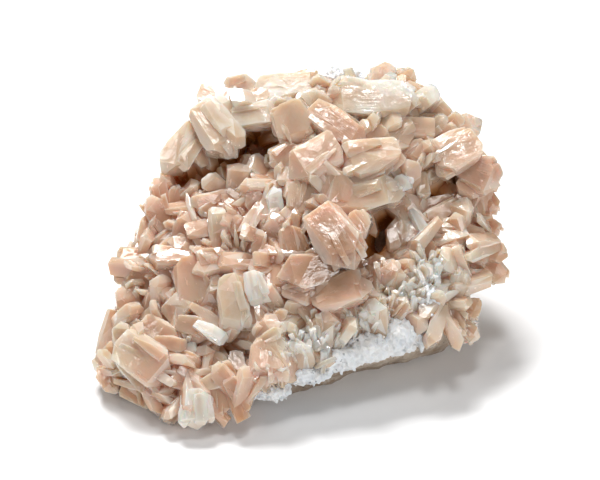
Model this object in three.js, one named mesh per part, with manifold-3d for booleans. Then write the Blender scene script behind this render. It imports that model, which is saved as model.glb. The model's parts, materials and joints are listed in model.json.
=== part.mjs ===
// A hand specimen of stilbite: a druse of intergrown blades and sheaves on a piece of its host rock.
// Units are millimetres, +Z is up, and the specimen rests on the flat break under the rock.
//
// The crystal face is described as seen from in front. A place on it has three numbers: x to the right,
// up towards the top of the front view, and out towards the eye, all measured from the view's centre.

import * as THREE from "three";
import { mergeVertices } from "three/addons/utils/BufferGeometryUtils.js";
import Module from "manifold-3d";

const wasm = await Module();
wasm.setup();

const DEGREE = Math.PI / 180;

// The front view looks down at the specimen from this far away and this steeply.
const VIEW_ELEVATION = 35 * DEGREE;
const VIEW_DISTANCE = 600;
const VIEW_CENTRE_HEIGHT = 35;

// The middle of the finished specimen's footprint, which becomes the origin.
const FOOTPRINT_MIDDLE = { x: 0.85, y: -0.14 };

// The crystal face: how far out it is at the view's centre, how it leans back, and how it falls off sideways.
const FACE_OUT = 6;
const FACE_LEAN = 0.31;
const FACE_FALL = 0.0035;

// The druse is the mass that the crystals stand on. It is deepest in the middle and thins to its edge.
const DRUSE_SET_BACK = 3;
const DRUSE_DEPTH = 19;
const DRUSE_EDGE_DEPTH = 5;
const DRUSE_RINGS = 4;

// Neighbouring solids keep this gap.
const GAP = 0.3;

// Hollows and swellings of the druse: place, half-widths, the turn of their long way, and height.
const RELIEF = [
  { x: -13, up: 27, along: 9, across: 6, turn: 0, height: -10 },
  { x: -29, up: 18, along: 11, across: 5, turn: 15, height: -10 },
  { x: 25, up: 0, along: 9, across: 6, turn: 60, height: -10 },
  { x: 44, up: 12, along: 9, across: 6, turn: -10, height: -8 },
  { x: -22, up: -32, along: 9, across: 6, turn: -20, height: -6 },
  { x: -43, up: 0, along: 5, across: 4, turn: 0, height: -6 },
  { x: 10, up: 22, along: 22, across: 9, turn: 0, height: 4 },
  { x: 8, up: -6, along: 11, across: 12, turn: 0, height: 4 },
  { x: -46, up: -36, along: 10, across: 8, turn: -35, height: 3 },
];

// The druse's edge as seen from in front.
const DRUSE_OUTLINE = [
  [-57, -42], [-57, -30], [-53, -18], [-51, -4], [-43, 12], [-34, 27], [-24, 41], [-12, 46],
  [3, 47], [18, 48], [32, 47], [42, 38], [51, 30], [55, 18], [55, 3], [53, -11],
  [50, -24], [42, -30], [29, -29], [12, -34], [-2, -40], [-16, -47], [-27, -53], [-36, -53],
  [-48, -47],
];

// The large crystals, each at the middle of its length. lift is how far that point is in front of the
// crystal face. turn is the way its free end points in the front view, lean is how far that end comes
// towards the eye, and roll turns it about its own length, all in degrees.
const UPPER_CRYSTALS = [
  { x: -25, up: 32.5, lift: 6, long: 20, wide: 12, thick: 10, turn: -52, lean: 12, roll: -15 },
  { x: -35.5, up: 27, lift: 3, long: 18, wide: 9, thick: 8, turn: -125, lean: 5, roll: 10 },
  { x: -24, up: 42, lift: 1, long: 15, wide: 8, thick: 6, turn: -20, lean: 10, roll: -25 },
  { x: -18, up: 45, lift: -2, long: 11, wide: 8, thick: 7, turn: -160, lean: 0, roll: 0 },
  { x: -12, up: 41.5, lift: 4, long: 8, wide: 7, thick: 6, turn: -80, lean: 30, roll: 0 },
  { x: -3, up: 45.5, lift: 3, long: 20, wide: 9, thick: 7, turn: 5, lean: 0, roll: -20 },
  { x: -13, up: 37, lift: 5.5, long: 16, wide: 7.5, thick: 7, turn: 3, lean: 0, roll: -20 },
  { x: -2, up: 34.5, lift: 6, long: 15, wide: 13, thick: 9, turn: -65, lean: 8, roll: 0 },
  { x: -5.5, up: 25, lift: 6, long: 10, wide: 6.5, thick: 5, turn: -140, lean: 10, roll: 0 },
  { x: 4.5, up: 23.5, lift: 8, long: 19, wide: 11.5, thick: 9, turn: -145, lean: 8, roll: 20 },
  { x: 11.5, up: 33.5, lift: 7, long: 20, wide: 10, thick: 8, turn: -35, lean: 8, roll: -20 },
  { x: 20, up: 41.5, lift: 5, long: 26, wide: 11, thick: 9, turn: 178, lean: 0, roll: 15 },
  { x: 10.5, up: 45, lift: 4.5, long: 10, wide: 6, thick: 2.5, turn: 52, lean: 0, roll: 60 },
  { x: 24.5, up: 49, lift: -1, long: 10, wide: 8, thick: 7, turn: 80, lean: 0, roll: 0 },
  { x: 31.5, up: 48.5, lift: -1, long: 8, wide: 7, thick: 6, turn: 60, lean: 10, roll: 0 },
  { x: 34.5, up: 43.5, lift: 2, long: 10, wide: 6, thick: 5, turn: -30, lean: 5, roll: 0 },
  { x: 41, up: 38.5, lift: 1, long: 13, wide: 8, thick: 7, turn: -55, lean: 5, roll: 0 },
  { x: 33, up: 33.5, lift: 5, long: 16, wide: 7, thick: 6, turn: 178, lean: 5, roll: 20 },
  { x: 49.5, up: 33.5, lift: 1, long: 11, wide: 8, thick: 7, turn: 20, lean: 0, roll: -10 },
  { x: 46.5, up: 26, lift: 7, long: 17, wide: 12, thick: 8, turn: -155, lean: 10, roll: 15 },
  { x: 23, up: 30.5, lift: 5, long: 11, wide: 9, thick: 7, turn: -30, lean: 5, roll: -10 },
  { x: 20.5, up: 24, lift: 9, long: 20, wide: 11, thick: 9, turn: -162, lean: 5, roll: 25 },
];

const MIDDLE_CRYSTALS = [
  { x: 19.5, up: 13, lift: 6, long: 23, wide: 10, thick: 9, turn: 15, lean: 0, roll: -15 },
  { x: 11.5, up: 14, lift: 6, long: 12, wide: 10, thick: 8, turn: -100, lean: 5, roll: 0 },
  { x: 1.5, up: 12, lift: 4.5, long: 16, wide: 11, thick: 7, turn: -95, lean: 5, roll: 0 },
  { x: -5, up: 14.5, lift: 2, long: 12, wide: 8, thick: 6, turn: -150, lean: 5, roll: 10 },
  { x: 11, up: 0, lift: 12, long: 21, wide: 13.5, thick: 11, turn: -58, lean: 18, roll: -5 },
  { x: 20.3, up: 4, lift: 8.5, long: 11, wide: 8, thick: 6, turn: -60, lean: 5, roll: 0 },
  { x: 2.5, up: -9.5, lift: 9, long: 18, wide: 10, thick: 9, turn: -172, lean: 5, roll: 10 },
  { x: -1, up: -1.5, lift: 6, long: 11, wide: 7.5, thick: 6, turn: -70, lean: 10, roll: 0 },
  { x: 13, up: -15.8, lift: 8, long: 18, wide: 10, thick: 9, turn: 18, lean: 5, roll: -20 },
  { x: 0.5, up: -16.2, lift: 7, long: 11, wide: 6, thick: 6, turn: -12, lean: 10, roll: -10 },
  { x: 31, up: 0.5, lift: -1.5, long: 12, wide: 10, thick: 8, turn: -75, lean: 10, roll: 0 },
  { x: 31, up: 9.3, lift: 1, long: 11, wide: 6.5, thick: 5.5, turn: -62, lean: 10, roll: 0 },
  { x: 45, up: 11, lift: -4, long: 11, wide: 9, thick: 8, turn: -80, lean: 20, roll: 0 },
  { x: 52, up: 8.5, lift: -1, long: 14, wide: 7, thick: 7, turn: -85, lean: 10, roll: 0 },
  { x: 54, up: 18.8, lift: 4, long: 14, wide: 12, thick: 10, turn: -20, lean: 5, roll: -10 },
  { x: 52, up: 1.8, lift: 1.5, long: 10, wide: 6, thick: 5, turn: -20, lean: 10, roll: 0 },
  { x: 57.5, up: -3.5, lift: 2, long: 10, wide: 7, thick: 5, turn: -15, lean: 5, roll: -20 },
  { x: 58.5, up: -9.3, lift: 0, long: 9, wide: 6.5, thick: 5, turn: -50, lean: 0, roll: 0 },
];

const LOWER_RIGHT_CRYSTALS = [
  { x: 27, up: -11, lift: 5, long: 12, wide: 9, thick: 6, turn: 75, lean: 20, roll: 0 },
  { x: 37.3, up: -12.3, lift: 5, long: 12, wide: 7.5, thick: 5, turn: 85, lean: 15, roll: 0 },
  { x: 46.8, up: -14, lift: 4, long: 13, wide: 6.5, thick: 5, turn: 65, lean: 15, roll: 15 },
  { x: 42, up: -9, lift: 3, long: 11, wide: 6, thick: 4, turn: 20, lean: 20, roll: -30 },
  { x: 45, up: -3, lift: 3.5, long: 10, wide: 6, thick: 4.5, turn: 0, lean: 15, roll: -20 },
  { x: 38, up: -2.5, lift: 2, long: 10, wide: 6.5, thick: 5, turn: -30, lean: 20, roll: 0 },
  { x: 33, up: -7, lift: 2, long: 10, wide: 7, thick: 5, turn: 30, lean: 20, roll: 0 },
  { x: 22, up: -23.5, lift: 4.5, long: 14, wide: 9, thick: 6, turn: 95, lean: 30, roll: 0 },
  { x: 15.5, up: -24, lift: 4, long: 12, wide: 6, thick: 5, turn: 125, lean: 25, roll: 15 },
  { x: 29, up: -21.5, lift: 4, long: 13, wide: 6, thick: 5, turn: 60, lean: 25, roll: -15 },
  { x: 6.5, up: -27, lift: 5, long: 12, wide: 8, thick: 6, turn: 95, lean: 10, roll: 0 },
  { x: 2.5, up: -21.5, lift: 5, long: 11, wide: 5.5, thick: 5, turn: -52, lean: 10, roll: 0 },
  { x: 33.5, up: -18, lift: 3, long: 11, wide: 6, thick: 5, turn: 50, lean: 25, roll: 0 },
  { x: 46.5, up: -25.5, lift: 0, long: 9, wide: 7, thick: 5, turn: -40, lean: 10, roll: 0 },
  { x: -9.5, up: -37.5, lift: 4, long: 14, wide: 12, thick: 10, turn: -85, lean: 15, roll: 0 },
  { x: -8.5, up: -32, lift: 6, long: 10, wide: 8, thick: 6, turn: 10, lean: 10, roll: -15 },
  { x: -13, up: -24, lift: 3.5, long: 11, wide: 6.5, thick: 5.5, turn: -80, lean: 15, roll: 0 },
  { x: -6.5, up: -24.5, lift: 4, long: 9, wide: 6.5, thick: 5.5, turn: 20, lean: 15, roll: 0 },
  { x: 0, up: -34, lift: 4, long: 11, wide: 8, thick: 6, turn: 110, lean: 20, roll: 0 },
];

const LEFT_CRYSTALS = [
  { x: -20, up: -19, lift: 5, long: 16, wide: 9, thick: 7, turn: -85, lean: 10, roll: 0 },
  { x: -13.3, up: -14.5, lift: 5, long: 10, wide: 6, thick: 4.5, turn: -75, lean: 5, roll: 0 },
  { x: -18.5, up: -7, lift: 5.5, long: 16, wide: 6.5, thick: 5, turn: 176, lean: 5, roll: 35 },
  { x: -12.5, up: 10.5, lift: 4, long: 11, wide: 7, thick: 4.5, turn: 130, lean: 15, roll: 0 },
  { x: -18, up: 3.3, lift: 4, long: 11, wide: 6.5, thick: 5, turn: 155, lean: 15, roll: 10 },
  { x: -24.5, up: 2, lift: 3, long: 15, wide: 6, thick: 4, turn: 92, lean: 5, roll: 0 },
  { x: -35, up: 3.5, lift: 4, long: 11, wide: 6, thick: 5, turn: 68, lean: 5, roll: 0 },
  { x: -42, up: 7, lift: 3, long: 14, wide: 7.5, thick: 5, turn: 120, lean: 10, roll: 0 },
  { x: -46, up: 2, lift: 2, long: 10, wide: 5.5, thick: 5, turn: -95, lean: 10, roll: 0 },
  { x: -42, up: 14, lift: 1.5, long: 10, wide: 6, thick: 5, turn: 105, lean: 5, roll: 0 },
  { x: -29, up: 18, lift: -5, long: 10, wide: 6.5, thick: 6, turn: -80, lean: 20, roll: 0 },
  { x: -23.5, up: 17, lift: -4, long: 11, wide: 6.5, thick: 6, turn: -100, lean: 15, roll: 0 },
  { x: -15, up: 21.5, lift: -2, long: 11, wide: 7.5, thick: 6, turn: 100, lean: 35, roll: 0 },
  { x: -12, up: 26, lift: -9, long: 9, wide: 6.5, thick: 6, turn: 80, lean: 40, roll: 0 },
  { x: -37, up: -6, lift: 6, long: 18, wide: 5.5, thick: 5, turn: 178, lean: 5, roll: 35 },
  { x: -39.5, up: -10, lift: 4, long: 10, wide: 6, thick: 5, turn: -70, lean: 10, roll: 0 },
  { x: -34, up: -2, lift: 4, long: 12, wide: 5, thick: 4, turn: 168, lean: 10, roll: 20 },
  { x: -52, up: -10, lift: -1, long: 9, wide: 7, thick: 6, turn: -90, lean: 5, roll: 0 },
  { x: -46, up: -12, lift: 2, long: 10, wide: 6, thick: 5.5, turn: -10, lean: 15, roll: 0 },
  { x: -31.5, up: -13.5, lift: 5, long: 17, wide: 11, thick: 8, turn: -70, lean: 8, roll: 0 },
  { x: -36, up: -20, lift: 5.5, long: 11, wide: 7, thick: 4.5, turn: 45, lean: 10, roll: -20 },
  { x: -51, up: -19, lift: 2.5, long: 12, wide: 8, thick: 6, turn: 140, lean: 10, roll: 0 },
  { x: -44, up: -18.5, lift: 4, long: 10, wide: 6, thick: 4.5, turn: 70, lean: 10, roll: 0 },
  { x: -56.5, up: -29, lift: 1, long: 17, wide: 7, thick: 6, turn: -105, lean: 0, roll: 0 },
  { x: -41.5, up: -28, lift: 5, long: 14, wide: 8, thick: 6, turn: -38, lean: 10, roll: 0 },
  { x: -32, up: -25.5, lift: 5, long: 10, wide: 6, thick: 5, turn: -10, lean: 15, roll: 0 },
  { x: -46.5, up: -36, lift: 7, long: 21, wide: 12, thick: 10, turn: -38, lean: 8, roll: -5 },
  { x: -56.5, up: -42, lift: 1, long: 9, wide: 7.5, thick: 7, turn: -60, lean: 10, roll: 0 },
  { x: -34.5, up: -43, lift: 5, long: 11, wide: 5, thick: 3.5, turn: 172, lean: 10, roll: 20 },
  { x: -26.5, up: -43, lift: 5, long: 12, wide: 5, thick: 4, turn: 28, lean: 10, roll: -20 },
  { x: -24, up: -48, lift: 2, long: 11, wide: 6.5, thick: 6, turn: -85, lean: 10, roll: 0 },
  { x: -31, up: -51, lift: 2.5, long: 12, wide: 9.5, thick: 7, turn: -85, lean: 5, roll: 0 },
  { x: -48, up: -46, lift: 0, long: 12, wide: 6, thick: 6, turn: -30, lean: 10, roll: 0 },
];

const LARGE_CRYSTALS = [...UPPER_CRYSTALS, ...MIDDLE_CRYSTALS, ...LOWER_RIGHT_CRYSTALS, ...LEFT_CRYSTALS];

// Small crystals fill the druse between the large ones, and stand round its edge.
const SMALL_CRYSTAL_TRIES = 12;
const SMALL_CRYSTAL_SIZE = { least: 5, most: 9 };
const EDGE_CRYSTALS = 20;
const CLEAR_OF_LARGE = 0.42;

// Crystals at least this wide end in four faces, not two, and wider ones are bevelled along their length.
const POINTED_WIDTH = 8;
const BEVELLED_WIDTH = 10;

// The host rock, as the broken faces round it. Each face passes through a point (x, y and height), looks
// towards facing, counted from +X to +Y, and looks up by rise, both in degrees.
const ROCK_MIDDLE = { x: 0, y: 8, z: 22 };
const ROCK_FACES = [
  { name: "under the druse", x: 0, y: 2, z: 31, facing: 270, rise: 51 },
  { name: "under the druse, left", x: -38, y: 2, z: 25, facing: 238, rise: 50 },
  { name: "under the druse, right", x: 38, y: 2, z: 27, facing: 302, rise: 50 },
  { name: "front break", x: 12, y: -29.5, z: 11, facing: 288, rise: -4 },
  { name: "undercut", x: 20, y: -25, z: 6, facing: 293, rise: -38 },
  { name: "right undercut", x: 45, y: -16, z: 6, facing: 325, rise: -40 },
  { name: "left front", x: -32, y: -29, z: 4, facing: 237, rise: -8 },
  { name: "left", x: -50, y: 0, z: 14, facing: 178, rise: -10 },
  { name: "right", x: 52, y: 6, z: 20, facing: 5, rise: -18 },
  { name: "right back", x: 44, y: 34, z: 30, facing: 42, rise: -6 },
  { name: "left back", x: -38, y: 34, z: 20, facing: 138, rise: 8 },
  { name: "back", x: 0, y: 47, z: 26, facing: 93, rise: 4 },
  { name: "upper back", x: 4, y: 44, z: 56, facing: 86, rise: 26 },
  { name: "upper left back", x: -35, y: 26, z: 42, facing: 148, rise: 30 },
];
const ROCK_DETAIL = 4;
const ROCK_ROUGHNESS = 1.1;

// White seam stuff clings to the rock along the front of the druse: rough lumps seen from in front.
const SEAM_LUMPS = [
  { x: -6, up: -47, out: 13, across: 7, high: 3.5 },
  { x: 3, up: -42, out: 11, across: 8, high: 5 },
  { x: 12, up: -38, out: 9, across: 8, high: 5.5 },
  { x: 21, up: -35, out: 7, across: 8, high: 5 },
  { x: 30, up: -33, out: 4.5, across: 8, high: 5 },
  { x: 38, up: -29, out: 1.5, across: 6, high: 7 },
  { x: 38, up: -21, out: 2, across: 5, high: 6 },
];
const SEAM_THICKNESS = 6;

// A repeatable stream of numbers from 0 to 1.
function stream(seed) {
  let state = (seed * 2654435761 + 12345) >>> 0;
  return () => {
    state = (Math.imul(state, 1664525) + 1013904223) >>> 0;
    return state / 4294967296;
  };
}

const RIGHT = new THREE.Vector3(1, 0, 0);
const UP_VIEW = new THREE.Vector3(0, Math.sin(VIEW_ELEVATION), Math.cos(VIEW_ELEVATION));
const OUT_VIEW = new THREE.Vector3(0, -Math.cos(VIEW_ELEVATION), Math.sin(VIEW_ELEVATION));

// The point seen at (x, up) in the front view and standing out by out.
function seen(x, up, out) {
  const nearer = 1 - out / VIEW_DISTANCE;
  return new THREE.Vector3(0, 0, VIEW_CENTRE_HEIGHT)
    .addScaledVector(RIGHT, x * nearer)
    .addScaledVector(UP_VIEW, up * nearer)
    .addScaledVector(OUT_VIEW, out);
}

function faceOut(x, up) {
  return FACE_OUT - FACE_LEAN * up - FACE_FALL * x * x;
}

// How far the druse swells or sinks at a place.
function reliefAt(x, up) {
  let height = 0;
  for (const r of RELIEF) {
    const c = Math.cos(r.turn * DEGREE);
    const s = Math.sin(r.turn * DEGREE);
    const dx = x - r.x;
    const dy = up - r.up;
    const u = (dx * c + dy * s) / r.along;
    const v = (dy * c - dx * s) / r.across;
    height += r.height * Math.exp(-u * u - v * v);
  }
  return height;
}

function druseOut(x, up) {
  return faceOut(x, up) - DRUSE_SET_BACK + reliefAt(x, up);
}

// A three.js geometry as a solid.
function solid(geometry) {
  const bare = geometry.index ? geometry.toNonIndexed() : geometry.clone();
  bare.deleteAttribute("normal");
  bare.deleteAttribute("uv");
  const merged = mergeVertices(bare, 1e-4);
  return new wasm.Manifold(
    new wasm.Mesh({
      numProp: 3,
      vertProperties: new Float32Array(merged.attributes.position.array),
      triVerts: new Uint32Array(merged.index.array),
    }),
  );
}

function geometryOf(body) {
  const mesh = body.getMesh();
  const geometry = new THREE.BufferGeometry();
  geometry.setAttribute("position", new THREE.BufferAttribute(new Float32Array(mesh.vertProperties), 3));
  geometry.setIndex(new THREE.BufferAttribute(new Uint32Array(mesh.triVerts), 1));
  return geometry;
}

// A geometry from corner points and triangles of their numbers.
function meshOf(points, triangles) {
  const geometry = new THREE.BufferGeometry();
  geometry.setAttribute("position", new THREE.Float32BufferAttribute(points.flatMap((p) => p.toArray()), 3));
  geometry.setIndex(triangles.flat());
  return geometry;
}

// The flat-faced body inside a set of planes, each a unit normal and a distance from the body's middle.
function bodyInside(planes) {
  const corners = [];
  const onPlane = planes.map(() => []);
  for (let i = 0; i < planes.length; i += 1) {
    for (let j = i + 1; j < planes.length; j += 1) {
      for (let k = j + 1; k < planes.length; k += 1) {
        const [p, q, r] = [planes[i], planes[j], planes[k]];
        const qr = new THREE.Vector3().crossVectors(q.normal, r.normal);
        const volume = p.normal.dot(qr);
        if (Math.abs(volume) < 1e-6) continue;
        const point = qr
          .multiplyScalar(p.reach)
          .addScaledVector(new THREE.Vector3().crossVectors(r.normal, p.normal), q.reach)
          .addScaledVector(new THREE.Vector3().crossVectors(p.normal, q.normal), r.reach)
          .divideScalar(volume);
        if (planes.some((s) => s.normal.dot(point) > s.reach + 1e-5)) continue;
        let corner = corners.findIndex((c) => c.distanceTo(point) < 1e-3);
        if (corner < 0) corner = corners.push(point) - 1;
        for (const plane of [i, j, k]) {
          if (!onPlane[plane].includes(corner)) onPlane[plane].push(corner);
        }
      }
    }
  }
  const triangles = [];
  planes.forEach((plane, number) => {
    const ring = onPlane[number];
    if (ring.length < 3) return;
    const middle = new THREE.Vector3();
    ring.forEach((c) => middle.addScaledVector(corners[c], 1 / ring.length));
    const across = corners[ring[0]].clone().sub(middle).normalize();
    const along = new THREE.Vector3().crossVectors(plane.normal, across);
    const angle = (c) => {
      const d = corners[c].clone().sub(middle);
      return Math.atan2(d.dot(along), d.dot(across));
    };
    ring.sort((a, b) => angle(a) - angle(b));
    for (let i = 1; i < ring.length - 1; i += 1) triangles.push([ring[0], ring[i], ring[i + 1]]);
  });
  return meshOf(corners, triangles);
}

// The planes of one stilbite crystal. Its length is along x, its pearly broad faces look along z, and it
// widens a little to its free end, where slanted faces meet in a blunt point.
function crystalPlanes(crystal, seed) {
  const next = stream(seed);
  const vary = (amount) => 1 + amount * (2 * next() - 1);
  const nudge = () => 0.12 * (next() - 0.5);
  const [half, broad, deep] = [crystal.long / 2, crystal.wide / 2, crystal.thick / 2];
  const planes = [];
  const face = (x, y, z, reach) => {
    const normal = new THREE.Vector3(x + nudge(), y + nudge(), z + nudge()).normalize();
    planes.push({ normal, reach: reach * vary(0.06) });
  };
  for (const side of [1, -1]) {
    face(-0.05, 0, side, deep);
    face(-0.08, side, 0, broad);
  }
  if (crystal.wide >= BEVELLED_WIDTH) {
    const corner = Math.hypot(broad, deep);
    for (const y of [1, -1]) {
      for (const z of [1, -1]) face(-0.06, (y * broad) / corner, (z * deep) / corner, corner * 0.8);
    }
  }
  const slant = 0.95 * vary(0.2);
  for (const y of [1, -1]) {
    face(1, y * slant, 0.25 * y, (half * 1.04) / Math.hypot(1, slant));
    if (crystal.wide >= POINTED_WIDTH) face(1, 0, y * 1.1, (half * 0.8 + deep * 0.45) / Math.hypot(1, 1.1));
  }
  face(-1, 0.3 * vary(1), 0.3 * vary(1), half * 0.95);
  return planes;
}

// A crystal as a solid, at the place on the front view that its numbers give.
function crystalSolid(crystal, seed) {
  const geometry = bodyInside(crystalPlanes(crystal, seed));
  const turn = new THREE.Quaternion().setFromAxisAngle(new THREE.Vector3(0, 0, 1), crystal.turn * DEGREE);
  const lean = new THREE.Quaternion().setFromAxisAngle(new THREE.Vector3(0, 1, 0), -crystal.lean * DEGREE);
  const roll = new THREE.Quaternion().setFromAxisAngle(new THREE.Vector3(1, 0, 0), crystal.roll * DEGREE);
  const inView = turn.multiply(lean).multiply(roll);
  const view = new THREE.Quaternion().setFromRotationMatrix(
    new THREE.Matrix4().makeBasis(RIGHT, UP_VIEW, OUT_VIEW),
  );
  const out = crystal.out ?? faceOut(crystal.x, crystal.up) + crystal.lift;
  geometry.applyQuaternion(view.multiply(inView));
  geometry.translate(...seen(crystal.x, crystal.up, out).toArray());
  return solid(geometry);
}

// Whether a place in the front view is inside the druse's edge.
function insideOutline(x, up) {
  let inside = false;
  DRUSE_OUTLINE.forEach(([ax, ay], i) => {
    const [bx, by] = DRUSE_OUTLINE[(i + 1) % DRUSE_OUTLINE.length];
    if (ay > up !== by > up && x < ((bx - ax) * (up - ay)) / (by - ay) + ax) inside = !inside;
  });
  return inside;
}

// Small crystals spread evenly over the druse, leaving out those that a large crystal would hide.
function smallCrystals() {
  const found = [];
  const [stepX, stepUp] = [0.7548776662466927, 0.5698402909980532];
  const { least, most } = SMALL_CRYSTAL_SIZE;
  for (let i = 1; i <= SMALL_CRYSTAL_TRIES; i += 1) {
    const next = stream(1000 + i);
    const x = -60 + 120 * ((i * stepX) % 1);
    const up = -56 + 108 * ((i * stepUp) % 1);
    const long = least + (most - least) * next();
    const [wide, thick] = [long * (0.45 + 0.25 * next()), long * (0.28 + 0.2 * next())];
    const [turn, lean, roll] = [360 * next(), 15 + 60 * next(), 180 * next()];
    const hidden = LARGE_CRYSTALS.some((c) => {
      const reach = CLEAR_OF_LARGE * Math.sqrt(c.long * c.wide);
      return c.lift > 0 && Math.hypot(c.x - x, c.up - up) < reach;
    });
    if (hidden || !insideOutline(x, up)) continue;
    found.push({ x, up, out: druseOut(x, up) + 0.5, long, wide, thick, turn, lean, roll });
  }
  return found;
}

// Crystals round the druse's edge, pointing away from its middle and a little backwards.
function edgeCrystals() {
  const found = [];
  const corners = DRUSE_OUTLINE.length;
  for (let i = 0; i < EDGE_CRYSTALS; i += 1) {
    const next = stream(3000 + i);
    const place = (i / EDGE_CRYSTALS) * corners;
    const [from, to] = [DRUSE_OUTLINE[Math.floor(place)], DRUSE_OUTLINE[(Math.floor(place) + 1) % corners]];
    const share = place % 1;
    const x = from[0] + (to[0] - from[0]) * share;
    const up = from[1] + (to[1] - from[1]) * share;
    const long = 7 + 5 * next();
    const turn = Math.atan2(up, x) / DEGREE + 60 * (next() - 0.5);
    const [wide, thick] = [long * (0.5 + 0.2 * next()), long * (0.35 + 0.2 * next())];
    const out = faceOut(x, up) - 4 - 3 * next();
    const [lean, roll] = [-10 - 30 * next(), 180 * next()];
    if (x > -14 && x < 44 && up < -20) continue;
    found.push({ x: x * 0.97, up: up * 0.97, out, long, wide, thick, turn, lean, roll });
  }
  return found;
}

// The druse: a lens whose front follows the relief, thickest in the middle.
function druseSolid() {
  const [points, triangles] = [[], []];
  const count = DRUSE_OUTLINE.length;
  const ring = (share, outAt) => {
    const first = points.length;
    for (const [ex, eu] of DRUSE_OUTLINE) {
      points.push(seen(ex * share, eu * share, outAt(ex * share, eu * share, share)));
    }
    return first;
  };
  const front = (x, up, share) => druseOut(x, up) - 2 * share ** 8;
  const back = (x, up, share) => {
    const depth = DRUSE_EDGE_DEPTH + (DRUSE_DEPTH - DRUSE_EDGE_DEPTH) * (1 - share ** 2);
    return faceOut(x, up) - DRUSE_SET_BACK - depth;
  };
  const rings = [];
  for (let i = 1; i <= DRUSE_RINGS; i += 1) rings.push(ring(i / DRUSE_RINGS, front));
  for (const share of [0.98, 0.7]) rings.push(ring(share, back));
  for (let r = 0; r < rings.length - 1; r += 1) {
    for (let i = 0; i < count; i += 1) {
      const j = (i + 1) % count;
      const [a, b, c, d] = [rings[r] + i, rings[r] + j, rings[r + 1] + j, rings[r + 1] + i];
      triangles.push([a, b, c], [a, c, d]);
    }
  }
  const frontMiddle = points.push(seen(0, 0, front(0, 0, 0))) - 1;
  const backMiddle = points.push(seen(0, 0, back(0, 0, 0))) - 1;
  const last = rings[rings.length - 1];
  for (let i = 0; i < count; i += 1) {
    const j = (i + 1) % count;
    triangles.push([frontMiddle, rings[0] + j, rings[0] + i], [backMiddle, last + i, last + j]);
  }
  return solid(meshOf(points, triangles));
}

// A smooth, repeatable roughness made of crossing waves.
function roughness(p) {
  const wave = (a, b, c, phase) => Math.sin(a * p.x + b * p.y + c * p.z + phase);
  const coarse = wave(0.21, 0.13, 0.17, 0.4) + wave(-0.16, 0.22, 0.12, 2.1) + wave(0.09, -0.2, 0.24, 4.2);
  const fine = wave(0.55, 0.38, -0.42, 1.3) + wave(-0.47, 0.5, 0.61, 0.2) + wave(0.36, -0.62, 0.5, 5.0);
  return 0.5 * coarse + 0.5 * fine;
}

// The direction that a face looks in.
function looks(facing, rise) {
  const level = Math.cos(rise * DEGREE);
  const [x, y] = [Math.cos(facing * DEGREE), Math.sin(facing * DEGREE)];
  return new THREE.Vector3(level * x, level * y, Math.sin(rise * DEGREE));
}

// The block inside the rock's faces, broken rough all over, grown by grow all round.
function blockSolid(grow) {
  const middle = new THREE.Vector3(ROCK_MIDDLE.x, ROCK_MIDDLE.y, ROCK_MIDDLE.z);
  const faces = ROCK_FACES.map((f) => {
    const normal = looks(f.facing, f.rise);
    return { normal, reach: normal.dot(new THREE.Vector3(f.x, f.y, f.z).sub(middle)) };
  });
  const geometry = new THREE.IcosahedronGeometry(1, ROCK_DETAIL);
  const position = geometry.attributes.position;
  const point = new THREE.Vector3();
  for (let i = 0; i < position.count; i += 1) {
    const ray = point.fromBufferAttribute(position, i).clone();
    let reach = (ROCK_MIDDLE.z + 8) / Math.max(-ray.z, 1e-3);
    for (const face of faces) {
      const towards = face.normal.dot(ray);
      if (towards > 1e-3) reach = Math.min(reach, face.reach / towards);
    }
    point.copy(ray).multiplyScalar(reach).add(middle);
    point.addScaledVector(ray, ROCK_ROUGHNESS * roughness(point) + grow);
    position.setXYZ(i, point.x, point.y, point.z);
  }
  return solid(geometry);
}

// One rough lump of the white seam.
function seamLump(lump, seed, grow) {
  const geometry = new THREE.IcosahedronGeometry(1, 1);
  const position = geometry.attributes.position;
  const point = new THREE.Vector3();
  const place = seen(lump.x, lump.up, lump.out);
  for (let i = 0; i < position.count; i += 1) {
    const ray = point.fromBufferAttribute(position, i).clone();
    const reach = 1 + 0.12 * roughness(ray.clone().multiplyScalar(9).addScalar(seed * 3)) + 0.05 * grow;
    const [x, up, out] = [ray.x * (lump.across + grow), ray.y * (lump.high + grow), ray.z * (SEAM_THICKNESS + grow)];
    point.copy(place).addScaledVector(RIGHT, x * reach);
    point.addScaledVector(UP_VIEW, up * reach).addScaledVector(OUT_VIEW, out * reach);
    position.setXYZ(i, point.x, point.y, point.z);
  }
  return solid(geometry);
}

// The whole rock with its white seam.
function rockSolid(grow) {
  return join([blockSolid(grow), ...SEAM_LUMPS.map((lump, i) => seamLump(lump, i, grow))]);
}

// Everything under the surface that the specimen rests on.
function underTable() {
  const box = new THREE.BoxGeometry(400, 400, 100);
  box.translate(0, 0, -50);
  return solid(box);
}

// Joins in pairs, then the pairs in pairs, and so on.
function join(bodies) {
  let left = bodies;
  while (left.length > 1) {
    const pairs = [];
    for (let i = 0; i < left.length; i += 2) pairs.push(i + 1 < left.length ? left[i].add(left[i + 1]) : left[i]);
    left = pairs;
  }
  return left[0];
}

// The main body that a cut leaves, without crumbs.
function mainBody(body) {
  return body.decompose().sort((a, b) => b.volume() - a.volume())[0];
}

function named(name, body, material) {
  const mesh = new THREE.Mesh(geometryOf(body), material);
  mesh.name = name;
  return mesh;
}

const stilbite = new THREE.MeshStandardMaterial({ color: 0xe3bda4, roughness: 0.32, metalness: 0 });
const hostRock = new THREE.MeshStandardMaterial({ color: 0xd9d2c6, roughness: 0.85, metalness: 0 });

const crystals = [...LARGE_CRYSTALS, ...smallCrystals(), ...edgeCrystals()];
const grown = join([druseSolid(), ...crystals.map((crystal, i) => crystalSolid(crystal, i))]);
const crust = mainBody(grown.subtract(rockSolid(2 * GAP)).subtract(underTable()));
const rock = mainBody(rockSolid(0).subtract(underTable()));

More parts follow.
